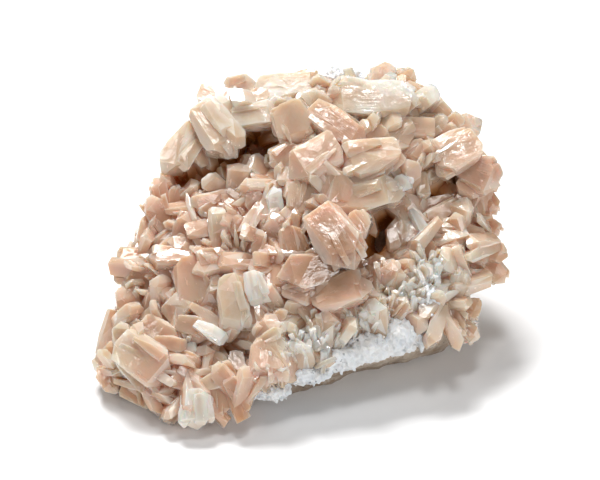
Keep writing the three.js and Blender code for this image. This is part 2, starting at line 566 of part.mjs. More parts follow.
const specimen = new THREE.Group();
specimen.add(named("stilbite_crystals", crust, stilbite));
specimen.add(named("matrix", rock, hostRock));
specimen.position.set(-FOOTPRINT_MIDDLE.x, -FOOTPRINT_MIDDLE.y, 0);

export default specimen;
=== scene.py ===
import json
import math
from collections import namedtuple

import bmesh
import bpy
import numpy as np
from mathutils import Matrix, Vector

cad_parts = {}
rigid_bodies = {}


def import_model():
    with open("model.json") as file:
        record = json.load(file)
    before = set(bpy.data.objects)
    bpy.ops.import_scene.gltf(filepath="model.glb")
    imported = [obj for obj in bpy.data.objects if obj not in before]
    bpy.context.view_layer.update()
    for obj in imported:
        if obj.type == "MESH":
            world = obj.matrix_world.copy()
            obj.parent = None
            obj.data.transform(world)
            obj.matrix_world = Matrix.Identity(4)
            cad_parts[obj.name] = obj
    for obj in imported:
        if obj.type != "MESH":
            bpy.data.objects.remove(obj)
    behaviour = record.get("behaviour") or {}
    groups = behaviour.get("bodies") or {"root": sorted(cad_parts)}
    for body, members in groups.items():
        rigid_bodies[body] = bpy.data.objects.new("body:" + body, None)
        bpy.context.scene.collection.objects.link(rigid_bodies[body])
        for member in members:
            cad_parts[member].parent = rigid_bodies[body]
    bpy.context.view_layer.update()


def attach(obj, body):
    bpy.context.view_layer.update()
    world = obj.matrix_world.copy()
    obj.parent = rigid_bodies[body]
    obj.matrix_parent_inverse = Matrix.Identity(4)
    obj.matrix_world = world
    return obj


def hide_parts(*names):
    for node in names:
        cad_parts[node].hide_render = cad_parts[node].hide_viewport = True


for startup_object in list(bpy.data.objects):
    bpy.data.objects.remove(startup_object)
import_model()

# Lengths here are millimetres, as they are in the frame's own source. Meshes are scaled to metres.
MM = 0.001

# The front view looks down at the specimen this steeply and from this far away, and takes in this width.
VIEW_ELEVATION = math.radians(35)
VIEW_DISTANCE = 600.0
VIEW_WIDTH = 180.0
VIEW_CENTRE_HEIGHT = 35.0
SENSOR_WIDTH = 36.0
FOOTPRINT_MIDDLE = np.array([0.85, -0.14, 0.0])

RIGHT = np.array([1.0, 0.0, 0.0])
UP_VIEW = np.array([0.0, math.sin(VIEW_ELEVATION), math.cos(VIEW_ELEVATION)])
OUT_VIEW = np.array([0.0, -math.cos(VIEW_ELEVATION), math.sin(VIEW_ELEVATION)])
VIEW_AXES = np.column_stack([RIGHT, UP_VIEW, OUT_VIEW])

# The crystal face: how far out it is at the view's centre, how it leans back, and how it falls off sideways.
FACE_OUT = 6.0
FACE_LEAN = 0.31
FACE_FALL = 0.0035
DRUSE_SET_BACK = -4.2
DRUSE_DEPTH = 25.0
DRUSE_EDGE_DEPTH = 10.0

# The rings of the druse's front and back, as shares of the way from its middle to its edge.
FRONT_RINGS = np.linspace(0.02, 1, 42)
BACK_RINGS = (0.98, 0.9, 0.75, 0.5, 0.25, 0.02)

# Crystals are described as seen from in front, each at the middle of its length: x to the right, up, and
# lift in front of the crystal face. turn is the way the free end points, lean how far it comes towards the
# eye, roll the turn about its own length, all in degrees. tint runs from cream (0) to salmon (1), and
# below 0 to white.
Crystal = namedtuple("Crystal", "x up lift long wide thick turn lean roll tint")

UPPER = [
    Crystal(-25, 32.5, 6, 20, 12, 10, -52, 12, -15, 0.15),
    Crystal(-35.5, 27, 3, 18, 9, 8, -125, 5, 10, 0.0),
    Crystal(-24, 42, 1, 15, 8, 6, -20, 10, -25, -0.2),
    Crystal(-18, 45, -2, 11, 8, 7, -160, 0, 0, 0.0),
    Crystal(-12, 41.5, 4, 8, 7, 6, -80, 30, 0, 0.7),
    Crystal(-3, 45.5, 3, 20, 9, 7, 5, 0, -20, 0.05),
    Crystal(-13, 37, 5.5, 16, 7.5, 7, 3, 0, -20, 0.1),
    Crystal(-2, 34.5, 6, 15, 13, 9, -65, 8, 0, 0.4),
    Crystal(-5.5, 25, 6, 10, 6.5, 5, -140, 10, 0, 0.45),
    Crystal(4.5, 23.5, 8, 19, 11.5, 9, -145, 8, 20, 0.4),
    Crystal(11.5, 33.5, 7, 20, 10, 8, -35, 8, -20, 0.55),
    Crystal(20, 41.5, 5, 26, 11, 9, 178, 0, 15, 0.1),
    Crystal(10.5, 45, 4.5, 10, 6, 2.5, 52, 0, 60, 0.2),
    Crystal(24.5, 49, -1, 10, 8, 7, 80, 0, 0, -0.1),
    Crystal(31.5, 48.5, -1, 8, 7, 6, 60, 10, 0, 0.7),
    Crystal(30, 46, 2, 7, 5, 4, -100, 20, 0, 0.8),
    Crystal(34.5, 43.5, 2, 10, 6, 5, -30, 5, 0, 0.6),
    Crystal(41, 38.5, 1, 13, 8, 7, -55, 5, 0, 0.3),
    Crystal(33, 33.5, 5, 16, 7, 6, 178, 5, 20, 0.55),
    Crystal(49.5, 33.5, 1, 11, 8, 7, 20, 0, -10, -0.2),
    Crystal(46.5, 26, 7, 17, 12, 8, -155, 10, 15, 0.4),
    Crystal(34.3, 26, 5, 9, 5.5, 5, -125, 10, 0, 0.6),
    Crystal(23, 30.5, 5, 11, 9, 7, -30, 5, -10, 0.5),
    Crystal(20.5, 24, 9, 20, 11, 9, -162, 5, 25, 0.1),
]

MIDDLE = [
    Crystal(19.5, 13, 6, 23, 10, 9, 15, 0, -15, 0.05),
    Crystal(11.5, 14, 6, 12, 10, 8, -100, 5, 0, 0.2),
    Crystal(1.5, 12, 4.5, 16, 11, 7, -95, 5, 0, -0.05),
    Crystal(-5, 14.5, 2, 12, 8, 6, -150, 5, 10, 0.1),
    Crystal(11, 0, 12, 21, 13.5, 11, -58, 18, -5, 0.3),
    Crystal(17.8, 4.5, 8, 9, 7, 6, -60, 5, 0, 0.1),
    Crystal(2.5, -9.5, 9, 18, 10, 9, -172, 5, 10, 0.45),
    Crystal(-1, -1.5, 6, 11, 7.5, 6, -70, 10, 0, 0.6),
    Crystal(13, -15.8, 8, 18, 10, 9, 18, 5, -20, 0.75),
    Crystal(0.5, -16.2, 7, 11, 6, 6, -12, 10, -10, 0.75),
    Crystal(31, 0.5, -1.5, 12, 10, 8, -75, 10, 0, 0.5),
    Crystal(31, 9.3, 1, 11, 6.5, 5.5, -62, 10, 0, 0.3),
    Crystal(36.3, 4, 4, 12, 3.4, 2.6, -58, 5, -20, -0.9),
    Crystal(36.7, 16, 2, 9, 3.8, 3.5, -92, 5, 0, 0.2),
    # Made white as a painted highlight, standing in for a bright glint on this clear crystal.
    Crystal(31, 17, 8, 6, 4.5, 4, -30, 10, 0, -1.0),
    Crystal(39, 7.3, -1, 7, 6, 5, 60, 30, 0, 0.4),
    Crystal(45, 4.5, 2, 11, 4.5, 3.5, 8, 5, -40, 0.3),
    Crystal(45, 11, -4, 11, 9, 8, -80, 20, 0, 0.3),
    Crystal(52, 8.5, -1, 14, 7, 7, -85, 10, 0, 0.4),
    Crystal(54, 18.8, 4, 14, 12, 10, -20, 5, -10, 0.75),
    Crystal(57, 11, -1, 8, 6, 6, -60, 5, 0, 0.7),
    Crystal(57.5, 3.8, -1, 7, 5, 5, -40, 0, 0, 0.7),
    Crystal(52, 1.8, 1.5, 10, 6, 5, -20, 10, 0, 0.7),
    Crystal(57.5, -3.5, 2, 10, 7, 5, -15, 5, -20, 0.4),
    Crystal(58.5, -9.3, 0, 9, 6.5, 5, -50, 0, 0, 0.4),
]

LOWER_RIGHT = [
    Crystal(27, -11, 5, 12, 9, 6, 75, 20, 0, 0.7),
    Crystal(37.3, -12.3, 4, 12, 7, 5, 105, 15, 20, 0.2),
    Crystal(46.8, -14, 4, 13, 6.5, 5, 65, 15, 15, 0.3),
    Crystal(42, -9, 3, 11, 6, 4, 20, 20, -30, 0.9),
    Crystal(52, -5, 3, 10, 5, 4, -15, 10, -30, 0.7),
    Crystal(45, -3, 3.5, 10, 6, 4.5, 0, 15, -20, 0.8),
    Crystal(38, -2.5, 2, 10, 6.5, 5, -30, 20, 0, 0.9),
    Crystal(33, -7, 2, 10, 7, 5, 30, 20, 0, 0.9),
    Crystal(22, -23.5, 4.5, 14, 9, 6, 95, 30, 0, 0.5),
    Crystal(15.5, -24, 4, 12, 6, 5, 125, 25, 15, 0.8),
    Crystal(29, -21.5, 4, 13, 6, 5, 60, 25, -15, 0.8),
    Crystal(6.5, -27, 5, 12, 8, 6, 95, 10, 0, 0.7),
    Crystal(2.5, -21.5, 5, 11, 5.5, 5, -52, 10, 0, 0.8),
    Crystal(33.5, -18, 3, 11, 6, 5, 50, 25, 0, 0.6),
    Crystal(50.5, -20, 0, 9, 6, 5, -20, 10, 0, 0.7),
    Crystal(46.5, -25.5, 0, 9, 7, 5, -40, 10, 0, 0.4),
    Crystal(50, -27, -3, 9, 6, 6, -30, 0, 0, 0.6),
    Crystal(-9.5, -37.5, 4, 14, 12, 10, -85, 15, 0, 0.85),
    Crystal(-8.5, -32, 6, 10, 8, 6, 10, 10, -15, 0.8),
    Crystal(-13, -24, 3.5, 11, 6.5, 5.5, -80, 15, 0, 0.7),
    Crystal(-6.5, -24.5, 4, 9, 6.5, 5.5, 20, 15, 0, 0.8),
    Crystal(0, -34, 4, 11, 8, 6, 110, 20, 0, 0.6),
]

LEFT = [
    Crystal(-20, -19, 7, 17, 9, 7, -85, 10, 0, 0.0),
    Crystal(-13.3, -14.5, 8, 11, 6.5, 5, -75, 5, 0, -0.9),
    Crystal(-18.5, -7, 5.5, 16, 6.5, 5, 176, 5, 35, 0.7),
    Crystal(-12.5, -1, 5, 9, 4.5, 3.5, 80, 10, 0, 0.7),
    Crystal(-12.5, 10.5, 4, 11, 7, 4.5, 130, 15, 0, 0.8),
    Crystal(-7.5, 11.5, 6.5, 9, 5, 4, 100, 10, 0, -0.9),
    Crystal(-18, 3.3, 4, 11, 6.5, 5, 155, 15, 10, 0.7),
    Crystal(-6, 3.5, 4.5, 9, 6, 5, -40, 10, 0, 0.6),
    Crystal(-9, -4, 4.5, 8, 5, 4.5, -20, 20, 0, 0.8),
    Crystal(-24.5, 2, 6, 16, 6, 4.5, 92, 5, 0, -0.1),
    Crystal(-35, 3.5, 4, 11, 6, 5, 68, 5, 0, 0.4),
    Crystal(-36, 9.2, 4, 10, 4.5, 3, 0, 5, -60, 0.3),
    Crystal(-42, 7, 3, 14, 7.5, 5, 120, 10, 0, 0.6),
    Crystal(-46, 2, 2, 10, 5.5, 5, -95, 10, 0, 0.5),
    Crystal(-42, 14, 1.5, 10, 6, 5, 105, 5, 0, 0.7),
    Crystal(-37.5, 13, 1, 8, 4.5, 4, 70, 10, 0, 0.5),
    Crystal(-29, 18, -5, 10, 6.5, 6, -80, 20, 0, 0.5),
    Crystal(-23.5, 17, -4, 11, 6.5, 6, -100, 15, 0, 0.4),
    Crystal(-15, 21.5, -2, 11, 7.5, 6, 100, 35, 0, 0.5),
    Crystal(-12, 26, -9, 9, 6.5, 6, 80, 40, 0, 0.8),
    Crystal(-21, 11.8, 2, 9, 4.5, 4, 175, 10, 20, 0.5),
    Crystal(-37, -6, 6, 18, 5.5, 5, 178, 5, 35, 0.8),
    Crystal(-39.5, -10, 4, 10, 6, 5, -70, 10, 0, 0.5),
    Crystal(-34, -2, 4, 12, 5, 4, 168, 10, 20, 0.7),
    Crystal(-50, -5, 2, 11, 4.5, 4, 175, 5, 30, 0.1),
    Crystal(-52, -10, -1, 9, 7, 6, -90, 5, 0, 0.3),
    Crystal(-46, -12, 2, 10, 6, 5.5, -10, 15, 0, 0.7),
    Crystal(-31.5, -13.5, 5, 17, 11, 8, -70, 8, 0, 0.5),
    Crystal(-36, -20, 5.5, 11, 7, 4.5, 45, 10, -20, 0.3),
    Crystal(-51, -19, 2.5, 12, 8, 6, 140, 10, 0, 0.8),
    Crystal(-44, -18.5, 4, 10, 6, 4.5, 70, 10, 0, 0.8),
    Crystal(-47.5, -23.5, 4.5, 11, 4.5, 3, 33, 5, -30, 0.5),
    Crystal(-56.5, -29, 1, 17, 7, 6, -105, 0, 0, -0.1),
    Crystal(-41.5, -28, 5, 14, 8, 6, -38, 10, 0, 0.6),
    Crystal(-32, -25.5, 5, 10, 6, 5, -10, 15, 0, 0.7),
    # Made white as a painted highlight, standing in for a bright glint along this blade.
    Crystal(-26.5, -28, 7, 11, 4.5, 4, -28, 10, -20, -0.7),
    Crystal(-34.5, -33, 4, 9, 3, 2, 20, 10, -20, -0.4),
    Crystal(-46.5, -36, 7, 21, 12, 10, -38, 8, -5, 0.5),
    Crystal(-33, -36.5, 3, 9, 6, 5, -30, 15, 0, 0.6),
    Crystal(-56.5, -42, 1, 9, 7.5, 7, -60, 10, 0, 0.6),
    Crystal(-58.5, -36, 0, 9, 6, 5, -130, 0, 0, 0.0),
    Crystal(-24, -37.5, 2, 8, 6, 5, -40, 30, 0, 0.5),
    Crystal(-19, -38, 1, 8, 5.5, 5, -90, 30, 0, 0.7),
    Crystal(-34.5, -43, 5, 11, 5, 3.5, 172, 10, 20, 0.7),
    Crystal(-26.5, -43, 5, 12, 5, 4, 28, 10, -20, 0.5),
    Crystal(-24, -48, 2, 11, 6.5, 6, -85, 10, 0, 0.5),
    Crystal(-31, -50.5, 4.5, 12, 9.5, 7, -85, 5, 0, -0.7),
    Crystal(-38.5, -51, 0, 9, 6, 5, -110, 5, 0, 0.5),
    Crystal(-48, -46, 0, 12, 6, 6, -30, 10, 0, 0.6),
]

# The regions of large crystals: where their random numbers start, how far their sheaves open, in degrees,
# and how much deeper they are set in the druse.
Region = namedtuple("Region", "crystals seed splay sink")
REGIONS = [
    Region(UPPER, 100, 14.0, 0.0),
    Region(MIDDLE, 1000, 14.0, 0.0),
    Region(LOWER_RIGHT, 2000, 60.0, 0.0),
    Region(LEFT, 3000, 20.0, 0.5),
]

# Hollows and swellings of the druse: place, half-widths, the turn of their long way, and height.
Swell = namedtuple("Swell", "x up along across turn height")
RELIEF = [
    Swell(-13, 27, 9, 6, 0, -15),
    Swell(-29, 19, 11, 5, 15, -12),
    Swell(25, 0, 10, 6, 60, -15),
    Swell(44, 13, 9, 6, -10, -13),
    Swell(-22, -32, 9, 6, -20, -7),
    Swell(-43, 0, 5, 4, 0, -6),
    Swell(10, 22, 22, 9, 0, 4),
    Swell(8, -6, 11, 12, 0, 4),
    Swell(-46, -36, 10, 8, -35, 3),
]

# Where the druse's colour is deeper, towards honey (above 0), or paler (below 0): partly the crystals' own
# colour, partly painted shade (deeper) and painted light (paler) for how the light falls across the druse.
TINT_AND_SHADE_ZONES = [
    Swell(9, -4, 13, 14, 0, 1.5),
    Swell(-30, 4, 20, 18, 0, 0.35),
    Swell(12, 24, 30, 9, 0, 0.2),
    Swell(40, -14, 18, 12, 0, -0.6),
    Swell(30, 47, 16, 7, 0, -0.7),
    Swell(4, -29, 20, 9, 0, -0.95),
    Swell(-24, 44, 16, 8, 0, -0.5),
    Swell(-57, -30, 7, 12, 0, -0.8),
    Swell(-16, 50, 12, 6, 0, -0.5),
]

# The druse's edge as seen from in front.
DRUSE_OUTLINE = [
    (-57, -42), (-58, -35), (-55, -27), (-53, -19), (-52, -11), (-50, -3), (-46, 5), (-42, 13),
    (-38, 20), (-32, 29), (-27, 37), (-21, 42), (-13, 45), (-5, 46), (3, 47), (11, 48),
    (19, 48), (27, 48), (33, 46), (38, 40), (44, 36), (50, 32), (52, 26), (55, 19),
    (56, 11), (55, 3), (55, -5), (53, -11), (50, -15), (50, -21), (48, -26), (43, -28),
    (38, -24), (29, -26), (20, -28), (10, -31.5), (0, -36), (-10, -42), (-18, -48), (-26, -52),
    (-33, -53), (-41, -50), (-49, -46),
]

# The host rock, as the broken faces round it: a point on each, the way it looks and how much it looks up.
ROCK_MIDDLE = np.array([0.0, 8.0, 22.0])
Break = namedtuple("Break", "x y z facing rise")
ROCK_FACES = [
    Break(0, 2, 31, 270, 51),
    Break(-38, 2, 25, 238, 50),
    Break(38, 2, 27, 302, 50),
    Break(12, -29.5, 11, 288, -4),
    Break(20, -25, 6, 293, -38),
    Break(45, -16, 6, 325, -40),
    Break(-32, -29, 4, 237, -8),
    Break(-50, 0, 14, 178, -10),
    Break(52, 6, 20, 5, -18),
    Break(44, 34, 30, 42, -6),
    Break(-38, 34, 20, 138, 8),
    Break(0, 47, 26, 93, 4),
    Break(4, 44, 56, 86, 26),
    Break(-35, 26, 42, 148, 30),
]

# How crisp its edges are, how far it reaches below the table before the cut, how many patches its sides are
# made of, and its skin: the width of a patch, and its waves as features to a millimetre, height and seed.
ROCK_CRISPNESS = 50.0
ROCK_BELOW_TABLE = 8
ROCK_DETAIL = 90
ROCK_PATCH = 0.8
ROCK_WAVES = [(0.22, 0.8, 17), (0.6, 0.35, 13), (1.3, 0.2, 14)]

# Smaller breaks that take off its edges and corners, and how far down they look at most.
SMALL_BREAKS = 60
BREAK_DEPTH = (0.5, 3.0)
LOWEST_BREAK = -0.25
ROCK_SEED = 7

# Rough lumps of the white seam along the front of the druse and at its top, as seen from in front.
Lump = namedtuple("Lump", "x up out across high")
SEAM_LUMPS = [
    Lump(-9, -45, 17.0, 6, 2.8),
    Lump(1, -39.8, 15.8, 8, 3.4),
    Lump(11, -35, 14.5, 8, 4.2),
    Lump(20, -31.8, 13.2, 8, 4.8),
    Lump(29, -28, 11.2, 7, 6.0),
    Lump(36.5, -23.8, 9.0, 5, 8.0),
    Lump(38.5, -18.5, 8.5, 4.2, 6.0),
    Lump(12, 49.5, -12.0, 7, 2.5),
]
SEAM_THICKNESS = 6.0
SEAM_NEEDLES = 520
SEAM_DETAIL = 40
SEAM_PATCH = 0.3
SEAM_WAVES = [(0.8, 0.35, 31), (2.2, 0.2, 32)]
SEAM_TRIANGLES = 100000

# Edges that turn by more than this stay sharp.
CRYSTAL_EDGE = math.radians(14)
SEAM_EDGE = math.radians(50)

# How far a crystal's faces are tilted and shifted by chance, how its tip slants, how near corners are one.
FACE_TILT = 0.17
FACE_SHIFT = 0.05
TIP_SLANT = 0.95
CORNER_APART = 0.12

# Blades scattered over the druse: how many places are tried, their lengths, their widths and thicknesses as
# shares of that, how far they stand out of the druse, and how far they keep inside its edge.
Scatter = namedtuple("Scatter", "tries seed long wide thick rise inset")
MEDIUM = Scatter(1300, 20000, (7.0, 16.0), (0.3, 0.46), (0.5, 0.8), (-2.2, 1.4), 1.0)
NEEDLES = Scatter(1500, 30000, (3.5, 8.0), (0.18, 0.34), (0.4, 0.9), (-1.2, 1.4), 1.05)

# The field that they are scattered over, and the steps across it that spread any number of places evenly.
FIELD_LEFT, FIELD_WIDTH = -60, 120
FIELD_BOTTOM, FIELD_HEIGHT = -56, 108
EVEN_STEP_X = 0.7548776662466927
EVEN_STEP_UP = 0.5698402909980532

# They grow in sprays this far apart, but not in deep hollows or behind this share of a large crystal.
SPRAY_APART = 11.0
DEEPEST_GROWTH = -7.0
HIDING_SHARE = 0.33

# Crystals round the druse's edge, a little inside it. None grow where the white seam runs along it.
EDGE_TRIES = 240
EDGE_INSET = 0.965
SEAM_LEFT, SEAM_RIGHT, SEAM_TOP = -14, 44, -20

# Pale blades over each lump of the seam.
FRINGE_BLADES = 30

# Where the random numbers of each kind start.
SHEAF_SEED = 5000
EDGE_SEED = 40000
FRINGE_SEED = 50000
BLADE_SEED = 60000
NEEDLE_SEED = 70000
SEAM_SEED = 90000
SEAM_NEEDLE_SEED = 95000

# What the material is told of the ground between the crystals, the depths below the skin at which painted
# shade darkens the hollows and the crevices between crystals, and how far off a crystal can be to own a
# place.
GROUND_TINT = 0.45
GROUND_SIZE = 1000.0
SKIN_ABOVE = 2.5
HOLLOW_RELIEF = 9
HOLLOW_DEPTH = 6
SUNK_DEPTH = 4
FARTHEST_OWNER = 1.2

# Points lower than this are moved less, so that the piece keeps resting on the table.
TABLE_BAND = 1.5

CREAM = (0.72, 0.57, 0.415)
SALMON = (0.79, 0.515, 0.38)
WHITE = (0.92, 0.86, 0.78)
HONEY = (0.48, 0.285, 0.175)
# Painted shade: amber between the crystals and in the hollows, dark brown deep in the hollows.
SHADE_AMBER = (0.64, 0.32, 0.15)
HOLLOW_SHADOW_BROWN = (0.52, 0.19, 0.04)

ROCK_BROWN = (0.36, 0.27, 0.20)
ROCK_TAN = (0.58, 0.48, 0.38)
ROCK_LAYERS = (0.33, 0.22, 0.14)
ROCK_PALE = (0.76, 0.71, 0.65)
ROCK_BLACK = (0.12, 0.11, 0.10)

SEAM_COLD = (0.90, 0.93, 0.96)
SEAM_WARM = (0.90, 0.86, 0.80)
SEAM_DARK = (0.07, 0.08, 0.09)

# The studio, in metres: each light's place, its width and height, and its power.
Light = namedtuple("Light", "name place size power")
LIGHTS = [
    Light("key", (-0.16, 0.40, 0.78), (0.32, 0.26), 9.8),
    Light("top", (0.05, -0.10, 0.85), (0.20, 0.15), 1.5),
    Light("left", (-0.55, -0.25, 0.50), (0.20, 0.20), 0.8),
    Light("front", (0.46, -0.50, 0.34), (0.35, 0.28), 1.7),
]
LIGHTS_AIM = Vector((0, 0, 0.03))
WORLD_LIGHT = 0.1
FLOOR_HALF = 3000
FLOOR_GREY = (0.92, 0.92, 0.92)
FLOOR_WHITE = (0.95, 0.95, 0.95)


# Places and shapes


def seen(x, up, out):
    """The point seen at (x, up) in the front view and standing out by out."""
    nearer = 1 - out / VIEW_DISTANCE
    centre = np.array([0.0, 0.0, VIEW_CENTRE_HEIGHT]) - FOOTPRINT_MIDDLE
    return centre + RIGHT * x * nearer + UP_VIEW * up * nearer + OUT_VIEW * out


def seen_place(points):
    """The other way round: x, up and out in the front view for an array of points."""
    away = points - np.array([0.0, 0.0, VIEW_CENTRE_HEIGHT]) + FOOTPRINT_MIDDLE
    out = away @ OUT_VIEW
    nearer = 1 - out / VIEW_DISTANCE
    return away @ RIGHT / nearer, away @ UP_VIEW / nearer, out


def face_out(x, up):
    """How far out the crystal face is at a place in the front view."""
    return FACE_OUT - FACE_LEAN * up - FACE_FALL * x * x


def swell_at(swells, x, up):
    """What smooth swells and hollows add up to at a place in the front view."""
    height = 0.0
    for swell in swells:
        c, s = math.cos(math.radians(swell.turn)), math.sin(math.radians(swell.turn))
        u = ((x - swell.x) * c + (up - swell.up) * s) / swell.along
        v = ((up - swell.up) * c - (x - swell.x) * s) / swell.across
        height = height + swell.height * np.exp(-u * u - v * v)
    return height


def druse_out(x, up):
    """How far out the druse's ground is at a place in the front view."""
    return face_out(x, up) - DRUSE_SET_BACK + swell_at(RELIEF, x, up)


def inside_outline(x, up):
    """Whether a place in the front view is within the druse's edge."""
    inside = False
    for i, (ax, ay) in enumerate(DRUSE_OUTLINE):
        bx, by = DRUSE_OUTLINE[(i + 1) % len(DRUSE_OUTLINE)]
        if (ay > up) != (by > up) and x < (bx - ax) * (up - ay) / (by - ay) + ax:
            inside = not inside
    return inside


def lattice(i, j, k, seed):
    """A repeatable number from -1 to 1 at each whole-numbered place."""
    value = np.sin(i * 127.1 + j * 311.7 + k * 74.7 + seed * 53.3) * 43758.5453
    return 2 * (value - np.floor(value)) - 1


def noise(points, seed=0.0):
    """Smooth repeatable noise from -1 to 1, with features about one unit across."""
    whole = np.floor(points)
    f = points - whole
    f = f * f * (3 - 2 * f)
    total = np.zeros(len(points))
    for corner in np.ndindex(2, 2, 2):
        shares = np.where(corner, f, 1 - f)
        total += shares.prod(axis=1) * lattice(*(whole + corner).T, seed)
    return total


def cube_sphere(detail):
    """A sphere of square patches: unit points and the corner numbers of each patch."""
    steps = np.tan(np.linspace(-1, 1, detail + 1) * math.pi / 4)
    found, points, patches = {}, [], []

    def corner(p):
        key = tuple(int(round(v * 1e5)) for v in p)
        if key not in found:
            found[key] = len(points)
            points.append(p)
        return found[key]

    for axis in range(3):
        for side in (1.0, -1.0):
            grid = []
            for a in steps:
                row = []
                for b in steps:
                    p = [0.0, 0.0, 0.0]
                    p[axis], p[(axis + 1) % 3], p[(axis + 2) % 3] = side, a, b * side
                    row.append(corner(p))
                grid.append(row)
            for i in range(detail):
                for j in range(detail):
                    patches.append((grid[i][j], grid[i + 1][j], grid[i + 1][j + 1], grid[i][j + 1]))
    points = np.array(points)
    return points / np.linalg.norm(points, axis=1)[:, None], np.array(patches)


def rounded_body(directions, normals, reaches, crispness):
    """How far the body inside a set of planes reaches in each direction, its edges slightly rounded."""
    towards = np.maximum(directions @ normals.T / reaches, 0)
    return 1 / np.power(np.power(towards, crispness).sum(axis=1), 1 / crispness)


def crystal_planes(c, rng):
    """The planes of one crystal: its length is along x and its pearly broad faces look along z."""
    half, broad, deep = c.long / 2, c.wide / 2, c.thick / 2
    corner = math.hypot(broad, deep)
    slant = TIP_SLANT * (1 + 0.2 * rng.uniform(-1, 1))
    rows = []

    def face(x, y, z, reach):
        normal = np.array([x, y, z]) + rng.uniform(-FACE_TILT, FACE_TILT, 3)
        reach = reach * (1 + rng.uniform(-FACE_SHIFT, FACE_SHIFT))
        rows.append((normal / np.linalg.norm(normal), reach))

    for side in (1, -1):
        face(-0.05, 0, side, deep)
        face(0.1 * rng.uniform(-1, 1), 0.16 * rng.uniform(-1, 1), side, deep * 1.01)
        face(-0.08, side, 0, broad)
        face(0.08 * rng.uniform(-1, 1), side, 0.2 * rng.uniform(-1, 1), broad * 1.01)
        for other in (1, -1):
            face(-0.06, side * broad / corner, other * deep / corner, corner * rng.uniform(0.78, 0.95))
        face(1, side * slant, 0.25 * side, half * 1.04 / math.hypot(1, slant))
        face(1, 0, side * 1.1, (half * 0.8 + deep * 0.45) / math.hypot(1, 1.1))
        face(-1, side * 0.8, 0, half * 1.15 / math.hypot(1, 0.8))
    face(1, 0, 0, half * rng.uniform(0.85, 1.1))
    face(-1, 0, 0, half * 0.95)
    return np.array([n for n, _ in rows]), np.array([r for _, r in rows])


def corners_inside(normals, reaches):
    """The corners of the body inside a set of planes. Corners that nearly touch are taken as one."""
    count = len(reaches)
    triples = [
        (a, b, c)
        for a in range(count)
        for b in range(a + 1, count)
        for c in range(b + 1, count)
    ]
    i, j, k = np.array(triples).T
    volume = np.einsum("ij,ij->i", normals[i], np.cross(normals[j], normals[k]))
    clear = np.abs(volume) > 1e-3
    i, j, k, volume = i[clear], j[clear], k[clear], volume[clear]
    p, q, r = normals[i], normals[j], normals[k]
    points = (
        np.cross(q, r) * reaches[i][:, None]
        + np.cross(r, p) * reaches[j][:, None]
        + np.cross(p, q) * reaches[k][:, None]
    ) / volume[:, None]
    points = points[(points @ normals.T <= reaches + 1e-6).all(axis=1)]
    _, first = np.unique(np.round(points / CORNER_APART), axis=0, return_index=True)
    return points[first]


def axes_of(turn, lean, roll):
    """The crystal's own axes as seen from in front: length, width and thickness as columns."""
    turned = Matrix.Rotation(math.radians(turn), 3, "Z")
    leaned = Matrix.Rotation(math.radians(-lean), 3, "Y")
    rolled = Matrix.Rotation(math.radians(roll), 3, "X")
    return VIEW_AXES @ np.array(turned @ leaned @ rolled)


# A body is its corner points and faces in place, its own axes, and for a crystal the planes it lies inside.
Body = namedtuple("Body", "points faces centre axes reach crystal normals reaches")


def hull(corners):
    """The flat-faced body round a set of corners, as points and triangles."""
    form = bmesh.new()
    for corner in corners:
        form.verts.new(corner)
    bmesh.ops.convex_hull(form, input=form.verts[:])
    loose = [vertex for vertex in form.verts if not vertex.link_faces]
    bmesh.ops.delete(form, geom=loose, context="VERTS")
    form.verts.index_update()
    points = np.array([vertex.co[:] for vertex in form.verts])
    triangles = [[vertex.index for vertex in face.verts] for face in form.faces]
    form.free()
    return points, triangles


def crystal_body(c, out, seed):
    """One crystal in place."""
    normals, reaches = crystal_planes(c, np.random.default_rng(seed))
    points, triangles = hull(corners_inside(normals, reaches))
    axes = axes_of(c.turn, c.lean, c.roll)
    centre = seen(c.x, c.up, out)
    reach = np.linalg.norm(points, axis=1).max()
    return Body(points @ axes.T + centre, triangles, centre, axes, reach, c, normals, reaches)


def sheaf(c, seed, splay):
    """A large crystal and the thinner blades grown along it, which open out as a sheaf does."""
    rng = np.random.default_rng(SHEAF_SEED + seed)
    axes = axes_of(c.turn, c.lean, c.roll)
    members = [c]
    broad = 2 if c.wide < 9 else 3
    for number in range(broad + int(c.wide * (0.35 + splay / 60))):
        side, face = rng.uniform(-0.42, 0.42), rng.uniform(-0.15, 0.34)
        width = rng.uniform(0.3, 0.55) if number < broad else rng.uniform(0.1, 0.24)
        length = c.long * rng.uniform(0.72, 0.98) * (1 - 0.7 * abs(side))
        along = rng.uniform(-0.4, 0.5) * (c.long - length)
        place = axes @ np.array([along, side * c.wide, face * c.thick])
        members.append(
            c._replace(
                x=c.x + place @ RIGHT,
                up=c.up + place @ UP_VIEW,
                lift=c.lift + place @ OUT_VIEW + FACE_LEAN * (place @ UP_VIEW),
                long=length,
                wide=c.wide * width,
                thick=c.thick * rng.uniform(0.35, 0.6),
                turn=c.turn + splay * side + rng.uniform(-3, 3),
                lean=c.lean + rng.uniform(-4, 4),
                roll=c.roll + rng.uniform(-8, 8),
                tint=c.tint + rng.uniform(-0.12, 0.12),
            )
        )
    return members


def large_bodies(region):
    """The sheaves of a region's large crystals."""
    bodies = []
    for number, crystal in enumerate(region.crystals):
        seed = region.seed + number * 10
        crystal = crystal._replace(lift=crystal.lift - region.sink)
        for member, c in enumerate(sheaf(crystal, seed, region.splay)):
            out = face_out(c.x, c.up) + c.lift
            bodies.append(crystal_body(c, out, seed + member))
    return bodies


def hidden_by(large, x, up):
    """Whether a large crystal stands in front of this place."""
    for c in large:
        size = math.sqrt(c.long * c.wide)
        if c.lift > 0 and math.hypot(c.x - x, c.up - up) < HIDING_SHARE * size:
            return True
    return False


def tint_near(up, rng):
    """The small crystals are more salmon low on the druse and paler near its top, and one in ten is pale."""
    tint = 0.7 - 0.007 * (up + 20) + 0.1 * rng.uniform(-1, 1)
    return tint - (0.25 if rng.random() < 0.1 else 0)


